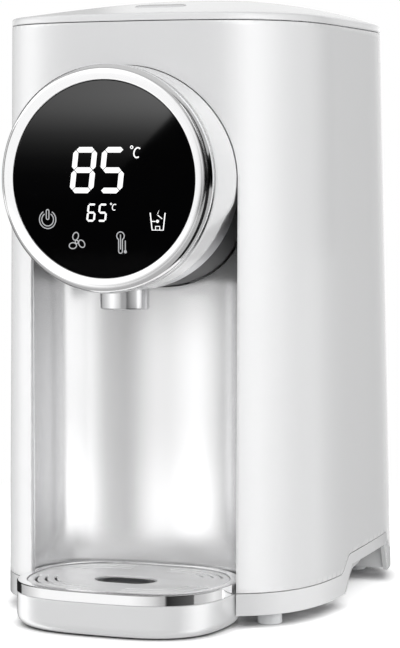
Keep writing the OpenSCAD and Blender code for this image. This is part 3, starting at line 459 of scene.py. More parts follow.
WHITE = plastic("white_plastic", (0.86, 0.862, 0.868), roughness=0.22, coat=0.25)
WHITE_HEAD = plastic("white_head_plastic", (0.88, 0.882, 0.888), roughness=0.2, coat=0.3)
WHITE_TRAY = plastic("white_tray_plastic", (0.87, 0.872, 0.878), roughness=0.22, coat=0.25)
SATIN_WHITE = plastic("satin_white_plastic", (0.82, 0.825, 0.83), roughness=0.4, height=0.05)
BUTTON_WHITE = plastic("button_plastic", (0.84, 0.842, 0.848), roughness=0.26, coat=0.15)
UNDERSIDE = plastic(
    "underside_plastic", (0.62, 0.62, 0.63), roughness=0.55, scale=1500.0, height=0.15,
)
FOOT_RUBBER = plastic("foot_rubber", (0.8, 0.81, 0.82), roughness=0.35, height=0.05)
SILICONE = plastic("silicone_rubber", (0.78, 0.79, 0.78), roughness=0.45, height=0.05)
DARK_PLASTIC = plastic("dark_plastic", (0.025, 0.025, 0.027), roughness=0.42, height=0.06)
PUMP_PLASTIC = plastic("pump_plastic", (0.1, 0.1, 0.105), roughness=0.45, height=0.08)
CIRCUIT = plastic(
    "circuit_board", (0.03, 0.16, 0.07), roughness=0.35, scale=300.0, height=0.1, wander=0.15,
)
DIGIT_GREY = plastic("digit_housing", (0.18, 0.18, 0.19), roughness=0.5)
ORANGE = plastic("impeller_plastic", (0.62, 0.2, 0.04), roughness=0.4)
RELAY_BLUE = plastic("relay_plastic", (0.03, 0.08, 0.3), roughness=0.35)
CAPACITOR = plastic("capacitor_sleeve", (0.03, 0.03, 0.035), roughness=0.3)
RIBBON = plastic("ribbon_plastic", (0.35, 0.36, 0.38), roughness=0.5, scale=200.0, height=0.2)
CERAMIC = plastic("ceramic", (0.72, 0.68, 0.58), roughness=0.3)
STEEL = metal("plated_steel", (0.62, 0.62, 0.63), roughness=0.3)
SPUN_STEEL = metal("spun_steel", (0.68, 0.68, 0.69), roughness=0.28, stretch=(1, 1, 30), scale=60.0)
CAST_ALUMINIUM = metal("cast_aluminium", (0.55, 0.55, 0.56), roughness=0.5, height=0.15)
OXIDE_STEEL = metal("oxidised_steel", (0.3, 0.29, 0.28), roughness=0.45, wander=0.12)
FOIL = metal("foil", (0.62, 0.55, 0.36), roughness=0.35, scale=150.0, height=0.2)
COPPER = metal(
    "enamelled_copper", (0.55, 0.26, 0.1), roughness=0.35, stretch=(1, 1, 8), scale=500.0,
    height=0.3,
)
BRASS = metal("brass", (0.66, 0.5, 0.24), roughness=0.25)
CHROME = metal(
    "polished_chrome", (0.9, 0.9, 0.905), roughness=0.07, spread=0.015, height=0.005, wander=0.01,
)
# Near-black, painted shade: it stands for the shadow in the niche under the head.
NECK_PAINTED_SHADE = plastic("neck_painted_shade", (0.05, 0.05, 0.052), roughness=0.5, height=0.05)
BEZEL_METAL = metal(
    "bezel_chrome", (0.93, 0.93, 0.935), roughness=0.12, spread=0.02, height=0.004, wander=0.01,
)
TRIM_METAL = metal("trim_chrome", (0.82, 0.82, 0.83), roughness=0.15, spread=0.02, height=0.005)
NOZZLE_METAL = metal("nozzle_chrome", (0.8, 0.8, 0.81), roughness=0.16, spread=0.03, height=0.01)
NICHE_METAL = metal(
    "niche_brushed", (0.86, 0.86, 0.865), roughness=0.22, spread=0.03, stretch=(1, 1, 0.02),
    scale=1500.0, height=0.04, metallic=0.8,
)
# Grey satin metal, partly painted shade: its grey stands for the shade on the barrel's rear inside
# the niche.
COLLAR_PAINTED_SHADE = metal("collar_satin_painted_shade", (0.74, 0.74, 0.75), roughness=0.35, height=0.02)
GRILLE_METAL = metal(
    "grille_brushed", (0.88, 0.88, 0.885), roughness=0.38, spread=0.05, stretch=(0.05, 1, 1),
    scale=1500.0, height=0.04, metallic=0.5,
)
DIGIT_LIGHT = glow("digit_light", (1.0, 1.0, 1.0), 1.0)
ICON_LIGHT = glow("icon_light", (0.62, 0.63, 0.65), 0.62)
BLACK_GLASS = finish(
    "black_glass", (0.0012, 0.0012, 0.0014), (0.0016, 0.0016, 0.0018), 0.05, 0.01, 40.0, 0.002,
    distance=0.00005, Specular_IOR_Level=0.05,
).owner


# ---------- Body outline ----------

MEASURED_AT = 0.2


def signed_power(value, exponent):
    return np.sign(value) * np.abs(value) ** exponent


def ring_size(z):
    """Half width, half depth and middle of the body's outline at a height."""
    share = 1 - z / LID_LINE
    half = LID_HIGH.x + (WIDTH_AT_TABLE / 2 - LID_HIGH.x) * share
    front = LID_LOW.y - FRONT_LEAN * share
    rear = LID_HIGH.y + REAR_LEAN * share
    return half, (rear - front) / 2, (rear + front) / 2


def ring_point(angle, z, inset=0.0):
    """Points of the outline at angles in radians, where 0 is the right side and pi / 2 the rear."""
    half, deep, middle = ring_size(z)
    x = (half - inset) * signed_power(np.cos(angle), 2 / SIDE_ROUNDNESS)
    y = middle + (deep - inset) * signed_power(np.sin(angle), 2 / FRONT_ROUNDNESS)
    return np.stack(np.broadcast_arrays(x, y, z), axis=-1)


def even_angles(start, end, count):
    """Angles between two angles that divide the outline into equal lengths."""
    fine = np.linspace(start, end, 40001)
    along = lengths(ring_point(fine, np.full_like(fine, MEASURED_AT)))
    return np.interp(np.linspace(0, along[-1], count + 1), along, fine)


def edge_angle(z, inset=0.0):
    """Angle of the outline's point on the right edge of the front opening."""
    half = ring_size(z)[0] - inset
    return -np.arccos((OPENING / half) ** (SIDE_ROUNDNESS / 2))


def side_points(share, z, inset=0.0):
    """Points round the sides and the rear: share 0 and 1 are the opening's right and left edges."""
    first = edge_angle(z, inset)
    return ring_point(first + (math.pi - 2 * first) * share, z, inset)


def front_points(x, z, inset=0.0):
    """Points of the front wall at given places across the width."""
    half, deep, middle = ring_size(z)
    across = np.abs(x) / (half - inset)
    y = middle - (deep - inset) * (1 - across**SIDE_ROUNDNESS) ** (1 / FRONT_ROUNDNESS)
    return np.stack(np.broadcast_arrays(x, y, z), axis=-1)


def side_shares(count):
    first = edge_angle(MEASURED_AT)
    angles = even_angles(first, math.pi - first, count)
    return (angles - first) / (math.pi - 2 * first)


def smooth_step(t):
    t = np.clip(t, 0, 1)
    return t * t * (3 - 2 * t)


def hold_line(y, level, rise, grow):
    """Height of a line that runs round the base and rises over the hand holds."""
    local = y - MIDDLE
    slope = HOLD_SLANT * (local - HOLD_FRONT) / (HOLD_REAR - HOLD_FRONT)
    up = smooth_step((local - HOLD_FRONT + grow + HOLD_LEAD) / HOLD_RAMP)
    down = 1 - smooth_step((local - HOLD_REAR - grow + HOLD_TAIL) / HOLD_DROP)
    return level + (rise + slope) * up * down


def side_line(shares, level, rise, grow):
    """That line's height at each share of the way round."""
    z = np.full_like(shares, level)
    for _ in range(6):
        z = hold_line(side_points(shares, z)[:, 1], level, rise, grow)
    return z


SHARES = side_shares(360)
LOWER_LINE = side_line(SHARES, FOOT_Z, HOLD_RISE, 0.0)
PARTING_LINE = side_line(
    SHARES, FOOT_Z + PLINTH_HEIGHT, HOLD_BAND + HOLD_RISE - PLINTH_HEIGHT, HOLD_SPREAD
)


# ---------- Body shell and plinth ----------

def wall(points, places, bottom, top, rows):
    """Outer points, inner points and faces of a wall between two lines."""
    levels = between(bottom, top, rows)
    outer = np.concatenate([points(places, z) for z in levels])
    inner = np.concatenate([points(places, z, SHELL_WALL) for z in levels])
    return outer, inner, grid_faces(rows, len(places))


def body_shell():
    """White shell: its sides and rear in two parts, and its front over the head's axis."""
    bottom, top = PARTING_LINE + PARTING_GAP / 2, LID_LINE - PARTING_GAP / 2
    lower_rows, upper_rows = 70, 30
    across = OPENING * np.sin(np.linspace(-math.pi / 2, math.pi / 2, 97))
    foot = HEAD_Z + np.sqrt(np.maximum(OPENING**2 - across**2, 0))
    outer, inner, faces = [], [], []
    for part in (
        wall(side_points, SHARES, bottom, HEAD_Z, lower_rows),
        wall(side_points, SHARES, np.full_like(SHARES, HEAD_Z), top, upper_rows),
        wall(front_points, across, foot, top, upper_rows),
    ):
        first = len(outer)
        outer += list(part[0])
        inner += list(part[1])
        faces += [tuple(v + first for v in f) for f in part[2]]
    verts, solid = thicken(outer, inner, faces)
    obj = piece("body_shell", verts, solid, "housing", "white_shell", WHITE, ["outer_shell"])
    round_edges(obj, 0.0007)
    for cutter in [*louvre_cutters(), inlet_cutter()]:
        cut(obj, cutter)
    return obj


LOUVRES = 7
LOUVRE_LENGTH = 0.064
LOUVRE_WIDTH = 0.003
LOUVRE_PITCH = 0.008
LOUVRE_BASE = 0.066
LOUVRE_DEPTH = 0.03
INLET_RIM = 0.0021
INLET_DEPTH = 0.02


def oblong(length, width, steps=12):
    """Outline of a flat oblong with round ends."""
    reach = (length - width) / 2
    return arc((reach, 0), width / 2, -90, 90, steps) + arc((-reach, 0), width / 2, 90, 270, steps)


def rear_cutter(name, outline, near, far):
    """Cutter with an outline in x and z, between two places along the depth."""
    return plain_object(name, *ring_stack([[(x, y, z) for x, z in outline] for y in (near, far)]))


def louvre_cutters():
    outline = oblong(LOUVRE_LENGTH, LOUVRE_WIDTH)
    for height in [LOUVRE_BASE + LOUVRE_PITCH * i for i in range(LOUVRES)]:
        raised = [(x, height + z) for x, z in outline]
        near, far = SHELL_HIGH.y - LOUVRE_DEPTH, SHELL_HIGH.y + CUT_MARGIN
        yield rear_cutter("louvre_cutter", raised, near, far)


def inlet_cutter():
    low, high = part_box("power_inlet")
    rim = INLET_RIM
    left, right, bottom, top = low.x + rim, high.x - rim, low.z + rim, high.z - rim
    outline = [(left, bottom), (right, bottom), (right, top), (left, top)]
    return rear_cutter("inlet_cutter", outline, high.y - INLET_DEPTH, high.y + CUT_MARGIN)


def plinth_band():
    top = PARTING_LINE - PARTING_GAP / 2
    verts, solid = thicken(*wall(side_points, SHARES, LOWER_LINE, top, 7))
    obj = piece("plinth_band", verts, solid, "housing", "white_base", WHITE, ["base_plinth"])
    return round_edges(obj, 0.0008)


def hand_hold(side):
    """Pocket behind a hand hold: a ceiling and three walls that close the housing there."""
    half = ring_size(FOOT_Z + PLINTH_HEIGHT)[0]
    outer_x, inner_x = half - 0.001, half - HOLD_DEPTH
    front = MIDDLE + HOLD_FRONT - HOLD_END
    rear = MIDDLE + HOLD_REAR + HOLD_END - HOLD_WALL
    centre_y = (front + rear) / 2
    ceiling = FOOT_Z + HOLD_RISE + HOLD_SLANT
    corner, round_top = 0.006, 0.004

    def pocket(grow, top):
        """Points of a wall from the base up to the ceiling, with a rounded upper edge."""
        plan = [(outer_x, front - grow)]
        plan += arc((inner_x + corner, front + corner), corner + grow, 270, 180, 8)
        plan += arc((inner_x + corner, rear - corner), corner + grow, 180, 90, 8)
        plan += [(outer_x, rear + grow)]
        levels = [(PLATE_Z, 0)]
        levels += [(top - round_top + up, shrink) for shrink, up in quarter(round_top, 7)]
        points = []
        for z, shrink in levels:
            for x, y in plan:
                pulled = math.copysign(min(shrink, abs(y - centre_y)), centre_y - y)
                points.append((side * min(x + shrink, outer_x), y + pulled, z))
        return points, len(plan), len(levels)

    outer, n, rows = pocket(HOLD_WALL, ceiling + HOLD_WALL)
    inner, n, rows = pocket(0.0, ceiling)
    first, last = (rows - 1) * n, rows * n - 1
    faces = grid_faces(rows, n)
    faces += [(first + j, first + j + 1, last - 1 - j, last - j) for j in range(n // 2 - 1)]
    verts, solid = thicken(outer, inner, faces)
    name = "hand_hold_right" if side > 0 else "hand_hold_left"
    return piece(name, verts, solid, "housing", "white_base", SATIN_WHITE, ["base_plinth"])


FOOT_PLACES = [(0.0738, -0.0821), (0.064, 0.101)]
FOOT_RADIUS = 0.00685
FOOT_EDGE = 0.0008


def foot_set():
    steps = 64
    profile = arc((FOOT_RADIUS - FOOT_EDGE, FOOT_EDGE), FOOT_EDGE, -90, 0, 4)
    profile.append((FOOT_RADIUS, PLATE_Z))
    n = len(profile)
    verts, faces = [], []
    for side in (-1, 1):
        for x, y in FOOT_PLACES:
            points, rings = lathe(profile, "z", (side * x, MIDDLE + y, 0), steps, closed=False)
            first = len(verts)
            verts += points
            faces += [tuple(v + first for v in f) for f in rings]
            for end in (first, first + n - 1):
                faces.append(tuple(range(end, end + steps * n, n)))
    return piece("foot_pads", verts, faces, "housing", "rubber_foot", FOOT_RUBBER, ["rubber_feet"])


# ---------- Niche ----------

def niche_outline(inset):
    """The niche's plan from its right edge round the rear to its left edge, as one soft curve."""
    first = math.asin(0.001 / NICHE_DEPTH)
    a = np.linspace(first, math.pi - first, 111)
    x = (NICHE_HALF - inset) * signed_power(np.cos(a), 2 / NICHE_ROUNDNESS)
    y = NICHE_Y + (NICHE_DEPTH - inset) * signed_power(np.sin(a), 2 / NICHE_ROUNDNESS)
    return np.column_stack([x, y])


def niche_lining():
    inside = niche_outline(0.0)
    outside = niche_outline(-PANEL_WALL)
    top = HEAD_Z - np.sqrt(np.maximum(OPENING**2 - inside[:, 0] ** 2, 0))
    rows = 60
    levels = between(FOOT_Z, top, rows)
    visible = np.concatenate([np.column_stack([inside, z]) for z in levels])
    hidden = np.concatenate([np.column_stack([outside, z]) for z in levels])
    verts, solid = thicken(visible, hidden, grid_faces(rows, len(inside)))
    obj = piece(
        "niche_lining", verts, solid, "housing", "niche_metal", NICHE_METAL, ["niche_panel"]
    )
    return round_edges(obj, 0.0003, 2)


# ---------- Display head ----------

SHOULDER = 0.0036
BEZEL_TILT = 8
GLASS_FIT = 0.0001
COLLAR_STEP = 0.0002
COLLAR_TURN = 0.2
NECK_STEP = 0.0005
NECK_SETBACK = 0.0145
NOZZLE_HOLE_TOP = 0.04


def barrel_rear(x, inset):
    """How far back the barrel reaches across the width: to just before the niche's rear."""
    r = NICHE_DEPTH - inset
    beyond = np.maximum(np.abs(x) - NICHE_STRAIGHT, 0)
    return NICHE_Y + np.sqrt(np.maximum(r**2 - np.minimum(beyond, r) ** 2, 0))


def head_barrel(name, radius, front, end, slot, material):
    """Round wall of the head between two depths or lines; an end of None is the niche's rear."""
    steps, rows = 240, 16
    angles = np.linspace(0, 2 * math.pi, steps, endpoint=False)

    def depth(place):
        return place(angles) if callable(place) else np.full(steps, place)

    start = depth(front)
    walls = []
    for inset in (0, SHELL_WALL):
        x = (radius - inset) * np.cos(angles)
        z = HEAD_Z + (radius - inset) * np.sin(angles)
        back = barrel_rear(x, COVER_GAP + inset) if end is None else depth(end)
        walls.append([np.column_stack([x, y, z]) for y in between(start, back, rows)])
    obj = piece(name, *double_wall(*walls), "housing", slot, material, ["head_barrel"])
    round_edges(obj, 0.0004)
    hole = (NOZZLE_HIGH.x - NOZZLE_LOW.x) / 2 + COVER_GAP
    outline = arc((0, (NOZZLE_LOW.y + NOZZLE_HIGH.y) / 2), hole, 0, 352.5, 47)
    low, high = HEAD_Z - HEAD_RADIUS - CUT_MARGIN, HEAD_Z - NOZZLE_HOLE_TOP
    return cut(obj, plain_object("nozzle_cutter", *extrusion(outline, low, high)), thorough=True)


def collar_line(angles):
    """Where the collar begins: at the shell's foremost plane below, and at its front wall above."""
    wall = HEAD_RADIUS * np.abs(np.cos(angles))
    above = front_points(wall, HEAD_Z)[:, 1]
    share = smooth_step((-np.sin(angles) - COLLAR_TURN) / COLLAR_TURN)
    return above + (SHELL_LOW.y - above) * share


def head_housing():
    """White front of the head, the metal collar behind it and the dark neck in the niche; the
    collar's grey and the neck's near-black are painted shade for the shadow under the head.
    """
    radius = BARREL_HIGH.z - HEAD_Z
    neck = SHELL_LOW.y + NECK_SETBACK
    head_barrel("head_housing", radius, BARREL_LOW.y, collar_line, "white_head", WHITE_HEAD)
    head_barrel("head_collar", radius - COLLAR_STEP, collar_line, neck, "niche_metal", COLLAR_PAINTED_SHADE)
    head_barrel("head_neck", radius - NECK_STEP, neck, None, "niche_metal", NECK_PAINTED_SHADE)


def bezel():
    """Polished ring: a small lip round the glass, a face that leans back and a round shoulder."""
    inner, outer = GLASS_RADIUS + GLASS_FIT, HEAD_RADIUS
    front, back = BEZEL_LOW.y, BEZEL_HIGH.y
    lip, edge = 0.0005, 0.0003
    start, end = inner + lip, outer - SHOULDER
    profile = [(inner, back), (inner, front + lip)]
    profile += arc((start, front + lip), lip, 180, 270, 4)[1:]
    y = front
    steps = 10
    for k in range(steps):
        tilt = math.radians(BEZEL_TILT * (k + 0.5) / steps)
        y += (end - start) / steps * math.tan(tilt)
        profile.append((start + (end - start) * (k + 1) / steps, y))
    lean = math.radians(BEZEL_TILT)
    reach = SHOULDER / math.cos(lean)
    middle = (outer - reach, y + reach * math.cos(lean))
    profile[-1] = (middle[0] + reach * math.sin(lean), y)
    profile += arc(middle, reach, -90 + BEZEL_TILT, 0, 14)[1:]
    profile += [(outer, back - edge), (outer - edge, back)]
    return head_ring("bezel", profile, "bezel_chrome", BEZEL_METAL, "bezel_ring")


def head_ring(name, profile, slot, material, node):
    """Ring round the head's axis, from a profile of (radius, depth)."""
    verts, faces = lathe(profile, "y", (0, 0, HEAD_Z), 288)
    return piece(name, verts, faces, "housing", slot, material, [node], angle=50)


def trim():
    """Thin ring between two grooves, behind the bezel."""
    outer = TRIM_HIGH.z - HEAD_Z
    inner, edge, groove = outer - 0.0022, 0.0003, 0.00025
    low, high = TRIM_LOW.y + groove, TRIM_HIGH.y - groove
    corners = [(inner, low), (outer, low), (outer, high), (inner, high)]
    profile = rounded(corners, [0, edge, edge, 0], 3)
    return head_ring("trim", profile, "trim_chrome", TRIM_METAL, "trim_ring")


def glass():
    edge, steps = 0.0003, 192
    profile = [(GLASS_RADIUS, GLASS_HIGH.y)]
    profile += arc((GLASS_RADIUS - edge, GLASS_FACE + edge), edge, 0, -90, 4)
    profile += [(r, GLASS_FACE) for r in (GLASS_RADIUS - 0.0005, 0.5 * GLASS_RADIUS, 0.001)]
    verts, faces = lathe(profile, "y", (0, 0, HEAD_Z), steps, closed=False)
    n = len(profile)
    faces += [tuple(range(first, steps * n, n)) for first in (n - 1, 0)]
    return piece("glass", verts, faces, "housing", "display_glass", BLACK_GLASS, ["glass_panel"])


# ---------- Display markings ----------

MARK_LIFT = 0.00012
MARK_THICKNESS = 0.00008


class Marking:
    """Flat shapes on the glass, in millimetres from its middle, gathered into one mesh."""

    def __init__(self):
        self.verts, self.faces = [], []

    def polygon(self, points):
        first = len(self.verts)
        self.verts += [(x / 1000, GLASS_FACE - MARK_LIFT, HEAD_Z + z / 1000) for x, z in points]
        self.faces.append(tuple(range(first, first + len(points))))

    def stroke(self, points, width, closed=False):
        """Band of even width along a line."""
        p = np.array(points, float)
        n = len(p)
        before = np.roll(p, 1, axis=0) if closed else np.vstack([p[:1], p[:-1]])
        after = np.roll(p, -1, axis=0) if closed else np.vstack([p[1:], p[-1:]])
        side = sideways(after - before, width)
        for i in range(n if closed else n - 1):
            j = (i + 1) % n
            self.polygon([p[i] + side[i], p[j] + side[j], p[j] - side[j], p[i] - side[i]])

    def disc(self, centre, radius):
        self.polygon(arc(centre, radius, 0, 345, 23))

    def build(self, name, material):
        obj = piece(name, self.verts, self.faces, "housing", None, material)
        modify(obj, "Thickness", "SOLIDIFY", thickness=MARK_THICKNESS, offset=0)
        smooth(bake_modifiers(obj).data)
        return obj


DIGIT_SLANT = 0.115
DIGITS = {
    "8": ["top", "middle", "bottom", "left_up", "right_up", "left_low", "right_low"],
    "5": ["top", "middle", "bottom", "left_up", "right_low"],
    "6": ["top", "middle", "bottom", "left_up", "left_low", "right_low"],
}


def digit_bar(start, end, middle, half, upright):
    """Hexagon of one bar, along its line from start to end."""
    side = half if upright else -half
    shape = [
        (start, middle), (start + half, middle + side), (end - half, middle + side),
        (end, middle), (end - half, middle - side), (start + half, middle - side),
    ]
    return [(x, z) for z, x in shape] if upright else shape


def seven_segments(marking, text, left, low, width, height, thick, advance, gap):
    """Slanted seven-segment digits."""
    half = thick / 2
    for k, digit in enumerate(text):
        for name in DIGITS[digit]:
            if "_" in name:
                middle = half if "left" in name else width - half
                start, end = (height / 2, height - half) if "up" in name else (half, height / 2)
            else:
                middle = {"top": height - half, "middle": height / 2, "bottom": half}[name]
                start, end = half, width - half
            shape = digit_bar(start + gap, end - gap, middle, half, "_" in name)
            begin = left + k * advance
            marking.polygon([(begin + x + DIGIT_SLANT * z, low + z) for x, z in shape])


def degree_sign(marking, left, low, size, thick):
    """Small ring and an open round letter beside a number."""
    ring = arc((left + 0.13 * size, low + 0.86 * size), 0.11 * size, 0, 330, 11)
    marking.stroke(ring, thick * 0.7, closed=True)
    letter = []
    for a in np.radians(np.linspace(48, 305, 20)):
        across = 0.62 + 0.3 * math.cos(a) + 0.06 * math.sin(a)
        letter.append((left + size * across, low + size * (0.42 + 0.4 * math.sin(a))))
    marking.stroke(letter, thick)


def power_icon(marking, middle, line):
    """Two open rings with an upright oblong in their gap."""
    for radius in (4.9, 3.5):
        turns = np.radians(np.linspace(32, 328, 40))
        ring = [(radius * math.sin(a), -0.4 + radius * math.cos(a)) for a in turns]
        marking.stroke(at(middle, ring), line)
    bar = arc((0, 4.2), 0.8, 0, 180, 8) + arc((0, 0.4), 0.8, 180, 360, 8)
    marking.stroke(at(middle, bar), line, closed=True)


def fan_icon(marking, middle, line):
    """Three round blades about a hub."""
    for k in range(3):
        turn = math.radians(120 * k + 12)
        s, c = math.sin(turn), math.cos(turn)
        blade = []
        for a in np.radians(np.linspace(0, 345, 24)):
            u, v = 1.75 * math.cos(a) + 0.5 * math.sin(a), 3.1 + 2.0 * math.sin(a)
            blade.append((u * c - v * s, u * s + v * c))
        marking.stroke(at(middle, blade), line, closed=True)
    marking.stroke(at(middle, arc((0, 0), 0.9, 0, 330, 11)), line, closed=True)


def gauge_icon(marking, middle, line):
    """Thermometer with its bulb on top, and a mark beside it."""
    tube = arc((-0.4, 3.6), 2.2, -60, 240, 22) + [(-1.5, -4.6)]
    tube += arc((-0.4, -4.6), 1.1, 180, 360, 8)
    marking.stroke(at(middle, tube), line, closed=True)
    marking.stroke(at(middle, [(-0.4, 4.4), (-0.4, -3.6)]), line)
    marking.stroke(at(middle, [(2.4, 1.2), (2.4, -4.4)]), line)
    marking.disc(*at(middle, [(2.4, -4.8)]), 0.9)


def cup_icon(marking, middle, line, thin):
    """Open cup with a drop, a spark and a foot inside it."""
    marking.stroke(at(middle, [(-4.3, 3.6), (-3.2, -5.6), (3.2, -5.6), (4.3, 3.6)]), line)
    marking.stroke(at(middle, [(-3.6, -1.0), (-1.2, -1.0)]), thin)
    marking.disc(*at(middle, [(-0.1, -0.9)]), 0.85)
    marking.stroke(at(middle, [(0, 2.4), (2.6, 0.4)]), thin)
    marking.polygon(at(middle, [(-0.5, 2.6), (0.9, 5.2), (0.3, 3.4)]))
    marking.stroke(at(middle, [(-1.2, -5.4), (-1.2, -3.6), (1.2, -3.6), (1.2, -5.4)]), thin)


def markings():
    digits = Marking()
    seven_segments(digits, "85", -19.9, -7.6, 14.0, 24.8, 3.0, 16.9, 0.25)
    degree_sign(digits, 16.0, 11.4, 6.6, 0.75)
    seven_segments(digits, "65", -10.0, -22.9, 5.1, 9.8, 1.1, 6.6, 0.12)
    degree_sign(digits, 4.2, -16.7, 4.0, 0.45)
    digits.build("display_digits", DIGIT_LIGHT)

    icons = Marking()
    line = 0.55
    power_icon(icons, (-32.9, -21.6), line)
    fan_icon(icons, (-15.6, -33.9), line)
    gauge_icon(icons, (10.6, -34.0), line)
    icons.build("display_icons", ICON_LIGHT)

    cup = Marking()
    cup_icon(cup, (31.8, -21.4), 0.65, 0.5)
    cup.build("display_cup_icon", DIGIT_LIGHT)


# ---------- Nozzle ----------

def outlet():
    centre = (NOZZLE_LOW + NOZZLE_HIGH) / 2
    r = (NOZZLE_HIGH.x - NOZZLE_LOW.x) / 2
    tip, top = NOZZLE_LOW.z, NOZZLE_HIGH.z
    bore, neck, wall = 0.004, 0.0065, 0.003
    cup = tip + 0.020
    recess = tip + 0.003
    corners = [
        (bore, top), (bore, recess), (r - wall, recess), (r - wall, tip),
        (r, tip), (r, cup), (neck, cup), (neck, top),
    ]
    profile = rounded(corners, [0, 0, 0.0006, 0.0005, 0.001, 0.0005, 0, 0], 5)
    verts, faces = lathe(profile, "z", (centre.x, centre.y, 0), 128)
    return piece(
        "outlet", verts, faces, "housing", "nozzle_chrome", NOZZLE_METAL, ["nozzle"], angle=45
    )


# ---------- Lid ----------

def dome_z(scale, turn):
    """Height of the dome at a scale of its rings. It rises more gently in front, at turn -1."""
    shoulder = LID_LINE + LID_SHOULDER
    return shoulder + (CROWN - shoulder) * (1 - scale ** (DOME_POWER + DOME_LEAN * turn))


def ring_powers(scale):
    """Roundness of the lid's sides and of its front at a scale: rounder towards the crown."""
    share = scale**2
    side = CROWN_ROUNDNESS + (SIDE_ROUNDNESS - CROWN_ROUNDNESS) * share
    return side, CROWN_ROUNDNESS + (FRONT_ROUNDNESS - CROWN_ROUNDNESS) * share


def lid_ring(angles, scale):
    """The lid's outline shrunk to a scale."""
    side, front = ring_powers(scale)
    half, deep, middle = ring_size(LID_LINE)
    x = half * scale * signed_power(np.cos(angles), 2 / side)
    y = deep * scale * signed_power(np.sin(angles), 2 / front)
    return np.column_stack([x, middle + y])


def lid_rings(angles):
    """Scale and heights of the lid's rings: a straight rim, a soft shoulder and the dome."""
    low = LID_LINE + PARTING_GAP / 2
    rim_top = LID_LINE + LID_RIM
    rise = 0.0036
    join = 0.965
    turn = np.sin(angles)
    power = DOME_POWER + DOME_LEAN * turn
    rings = [(1.0, np.full(len(angles), z)) for z in np.linspace(low, rim_top, 5)]
    slope = (CROWN - LID_LINE - LID_SHOULDER) * power * join ** (power - 1)
    for t in np.linspace(0, 1, 11)[1:]:
        h00, h10 = 2 * t**3 - 3 * t**2 + 1, t**3 - 2 * t**2 + t
        h01, h11 = -2 * t**3 + 3 * t**2, t**3 - t**2
        scale = h00 + h01 * join - h11 * (1 - join)
        height = h00 * rim_top + h10 * rise + h01 * dome_z(join, turn) + h11 * slope * (1 - join)
        rings.append((scale, height))
    rings += [(s, dome_z(s, turn)) for s in np.linspace(join, 0.02, 46)[1:]]
    return rings


def dome_height(x, y):
    """Height of the lid's surface over a place inside its rim."""
    half, deep, middle = ring_size(LID_LINE)
    low, high = 0.0, 1.0
    for _ in range(40):
        scale = (low + high) / 2
        side, front = ring_powers(scale)
        across, along = abs(x) / (half * scale), abs(y - middle) / (deep * scale)
        if across**side + along**front > 1:
            low = scale
        else:
            high = scale
    turn = math.copysign(min(along, 1.0) ** (front / 2), y - middle)
    return float(dome_z(scale, turn))


BUTTON_Y = MIDDLE - 0.062
BUTTON_LENGTH = 0.030
BUTTON_WIDTH = 0.013
BUTTON_PROUD = 0.0006
BUTTON_GAP = 0.00035
BUTTON_LIFT = 0.002
STEAM_GAP = 0.0002


def lid_cutter(name, outline):
    return plain_object(name, *extrusion(outline, LID_LINE, CROWN + CUT_MARGIN))


def lid_shell():
    """Crowned cover with an upright rim, an opening for the button and one for the steam cap."""
    angles = even_angles(-math.pi / 2, 1.5 * math.pi, 300)[:-1]
    rings = lid_rings(angles)
    inner_share = 1 - LID_WALL / LID_HIGH.x
    liner_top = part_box("lid_liner")[1].z + 0.0001
    thinnest = 0.0003
    outer = [np.column_stack([lid_ring(angles, s), z]) for s, z in rings]
    inner = []
    for (s, z), t in zip(rings, np.clip((np.arange(len(rings)) - 4) / 8, 0, 1)):
        below = np.maximum(z - LID_WALL * t, np.minimum(z - thinnest * t, liner_top))
        plan = lid_ring(angles, s) - (0, MIDDLE)
        inner.append(np.column_stack([plan * inner_share + (0, MIDDLE), below]))
    walls = double_wall(outer, inner)
    obj = piece("lid_shell", *walls, "lid", "white_lid", WHITE, ["lid_cover"])
    round_edges(obj, 0.0005)
    outline = oblong(BUTTON_LENGTH + 2 * BUTTON_GAP, BUTTON_WIDTH + 2 * BUTTON_GAP)
    cut(obj, lid_cutter("button_cutter", at((0, BUTTON_Y), outline)))
    low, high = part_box("steam_cap")
    middle = ((low.x + high.x) / 2, (low.y + high.y) / 2)
    outline = arc(middle, (high.x - low.x) / 2 + STEAM_GAP, 0, 354, 59)
    return cut(obj, lid_cutter("steam_cutter", outline))


def button_cap():
    """Release button: an oblong whose soft top follows the dome, a little proud of it."""
    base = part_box("lid_button")[0].z + BUTTON_LIFT
    edge = 0.0008
    turns = np.linspace(0, math.pi / 2, 5)
    insets = [edge * (1 - math.cos(a)) for a in turns] + [0.003, 0.0055]
    drops = [edge * (1 - math.sin(a)) for a in turns] + [0.0001, 0.0002]
    rows = [[(x, BUTTON_Y + y, base) for x, y in oblong(BUTTON_LENGTH, BUTTON_WIDTH, 16)]]
    for inset, drop in zip(insets, drops):
        outline = oblong(BUTTON_LENGTH - 2 * inset, BUTTON_WIDTH - 2 * inset, 16)
        places = at((0, BUTTON_Y), outline)
        rows.append([(x, y, dome_height(x, y) + BUTTON_PROUD - drop) for x, y in places])
    return piece(
        "button_cap", *ring_stack(rows), "release_button", "button_white", BUTTON_WHITE,
        ["lid_button"],
    )


# ---------- Drip tray ----------

def tray_outline(inset, count):
    """Plan of the tray: a blunt oval front and two large rear corners."""
    a, b = TRAY_HALF - inset, TRAY_NOSE - inset
    t = np.radians(np.linspace(180, 360, 721))
    front_x = a * signed_power(np.cos(t), 2 / TRAY_ROUNDNESS[0])
    front_y = b * signed_power(np.sin(t), 2 / TRAY_ROUNDNESS[1])
    r = NICHE_DEPTH - TRAY_GAP - inset
    right = np.array(arc((NICHE_STRAIGHT, 0), r, 0, 90, 180))
    left = np.array(arc((-NICHE_STRAIGHT, 0), r, 90, 180, 180))
    line = np.vstack([np.column_stack([front_x, front_y]), right[1:], left[:-1]])
    closed = np.vstack([line, line[:1]])
    along = lengths(closed)
    even = np.linspace(0, along[-1], count, endpoint=False)
    x, y = np.interp(even, along, closed[:, 0]), np.interp(even, along, closed[:, 1])
    return np.column_stack([x, y + NICHE_Y])


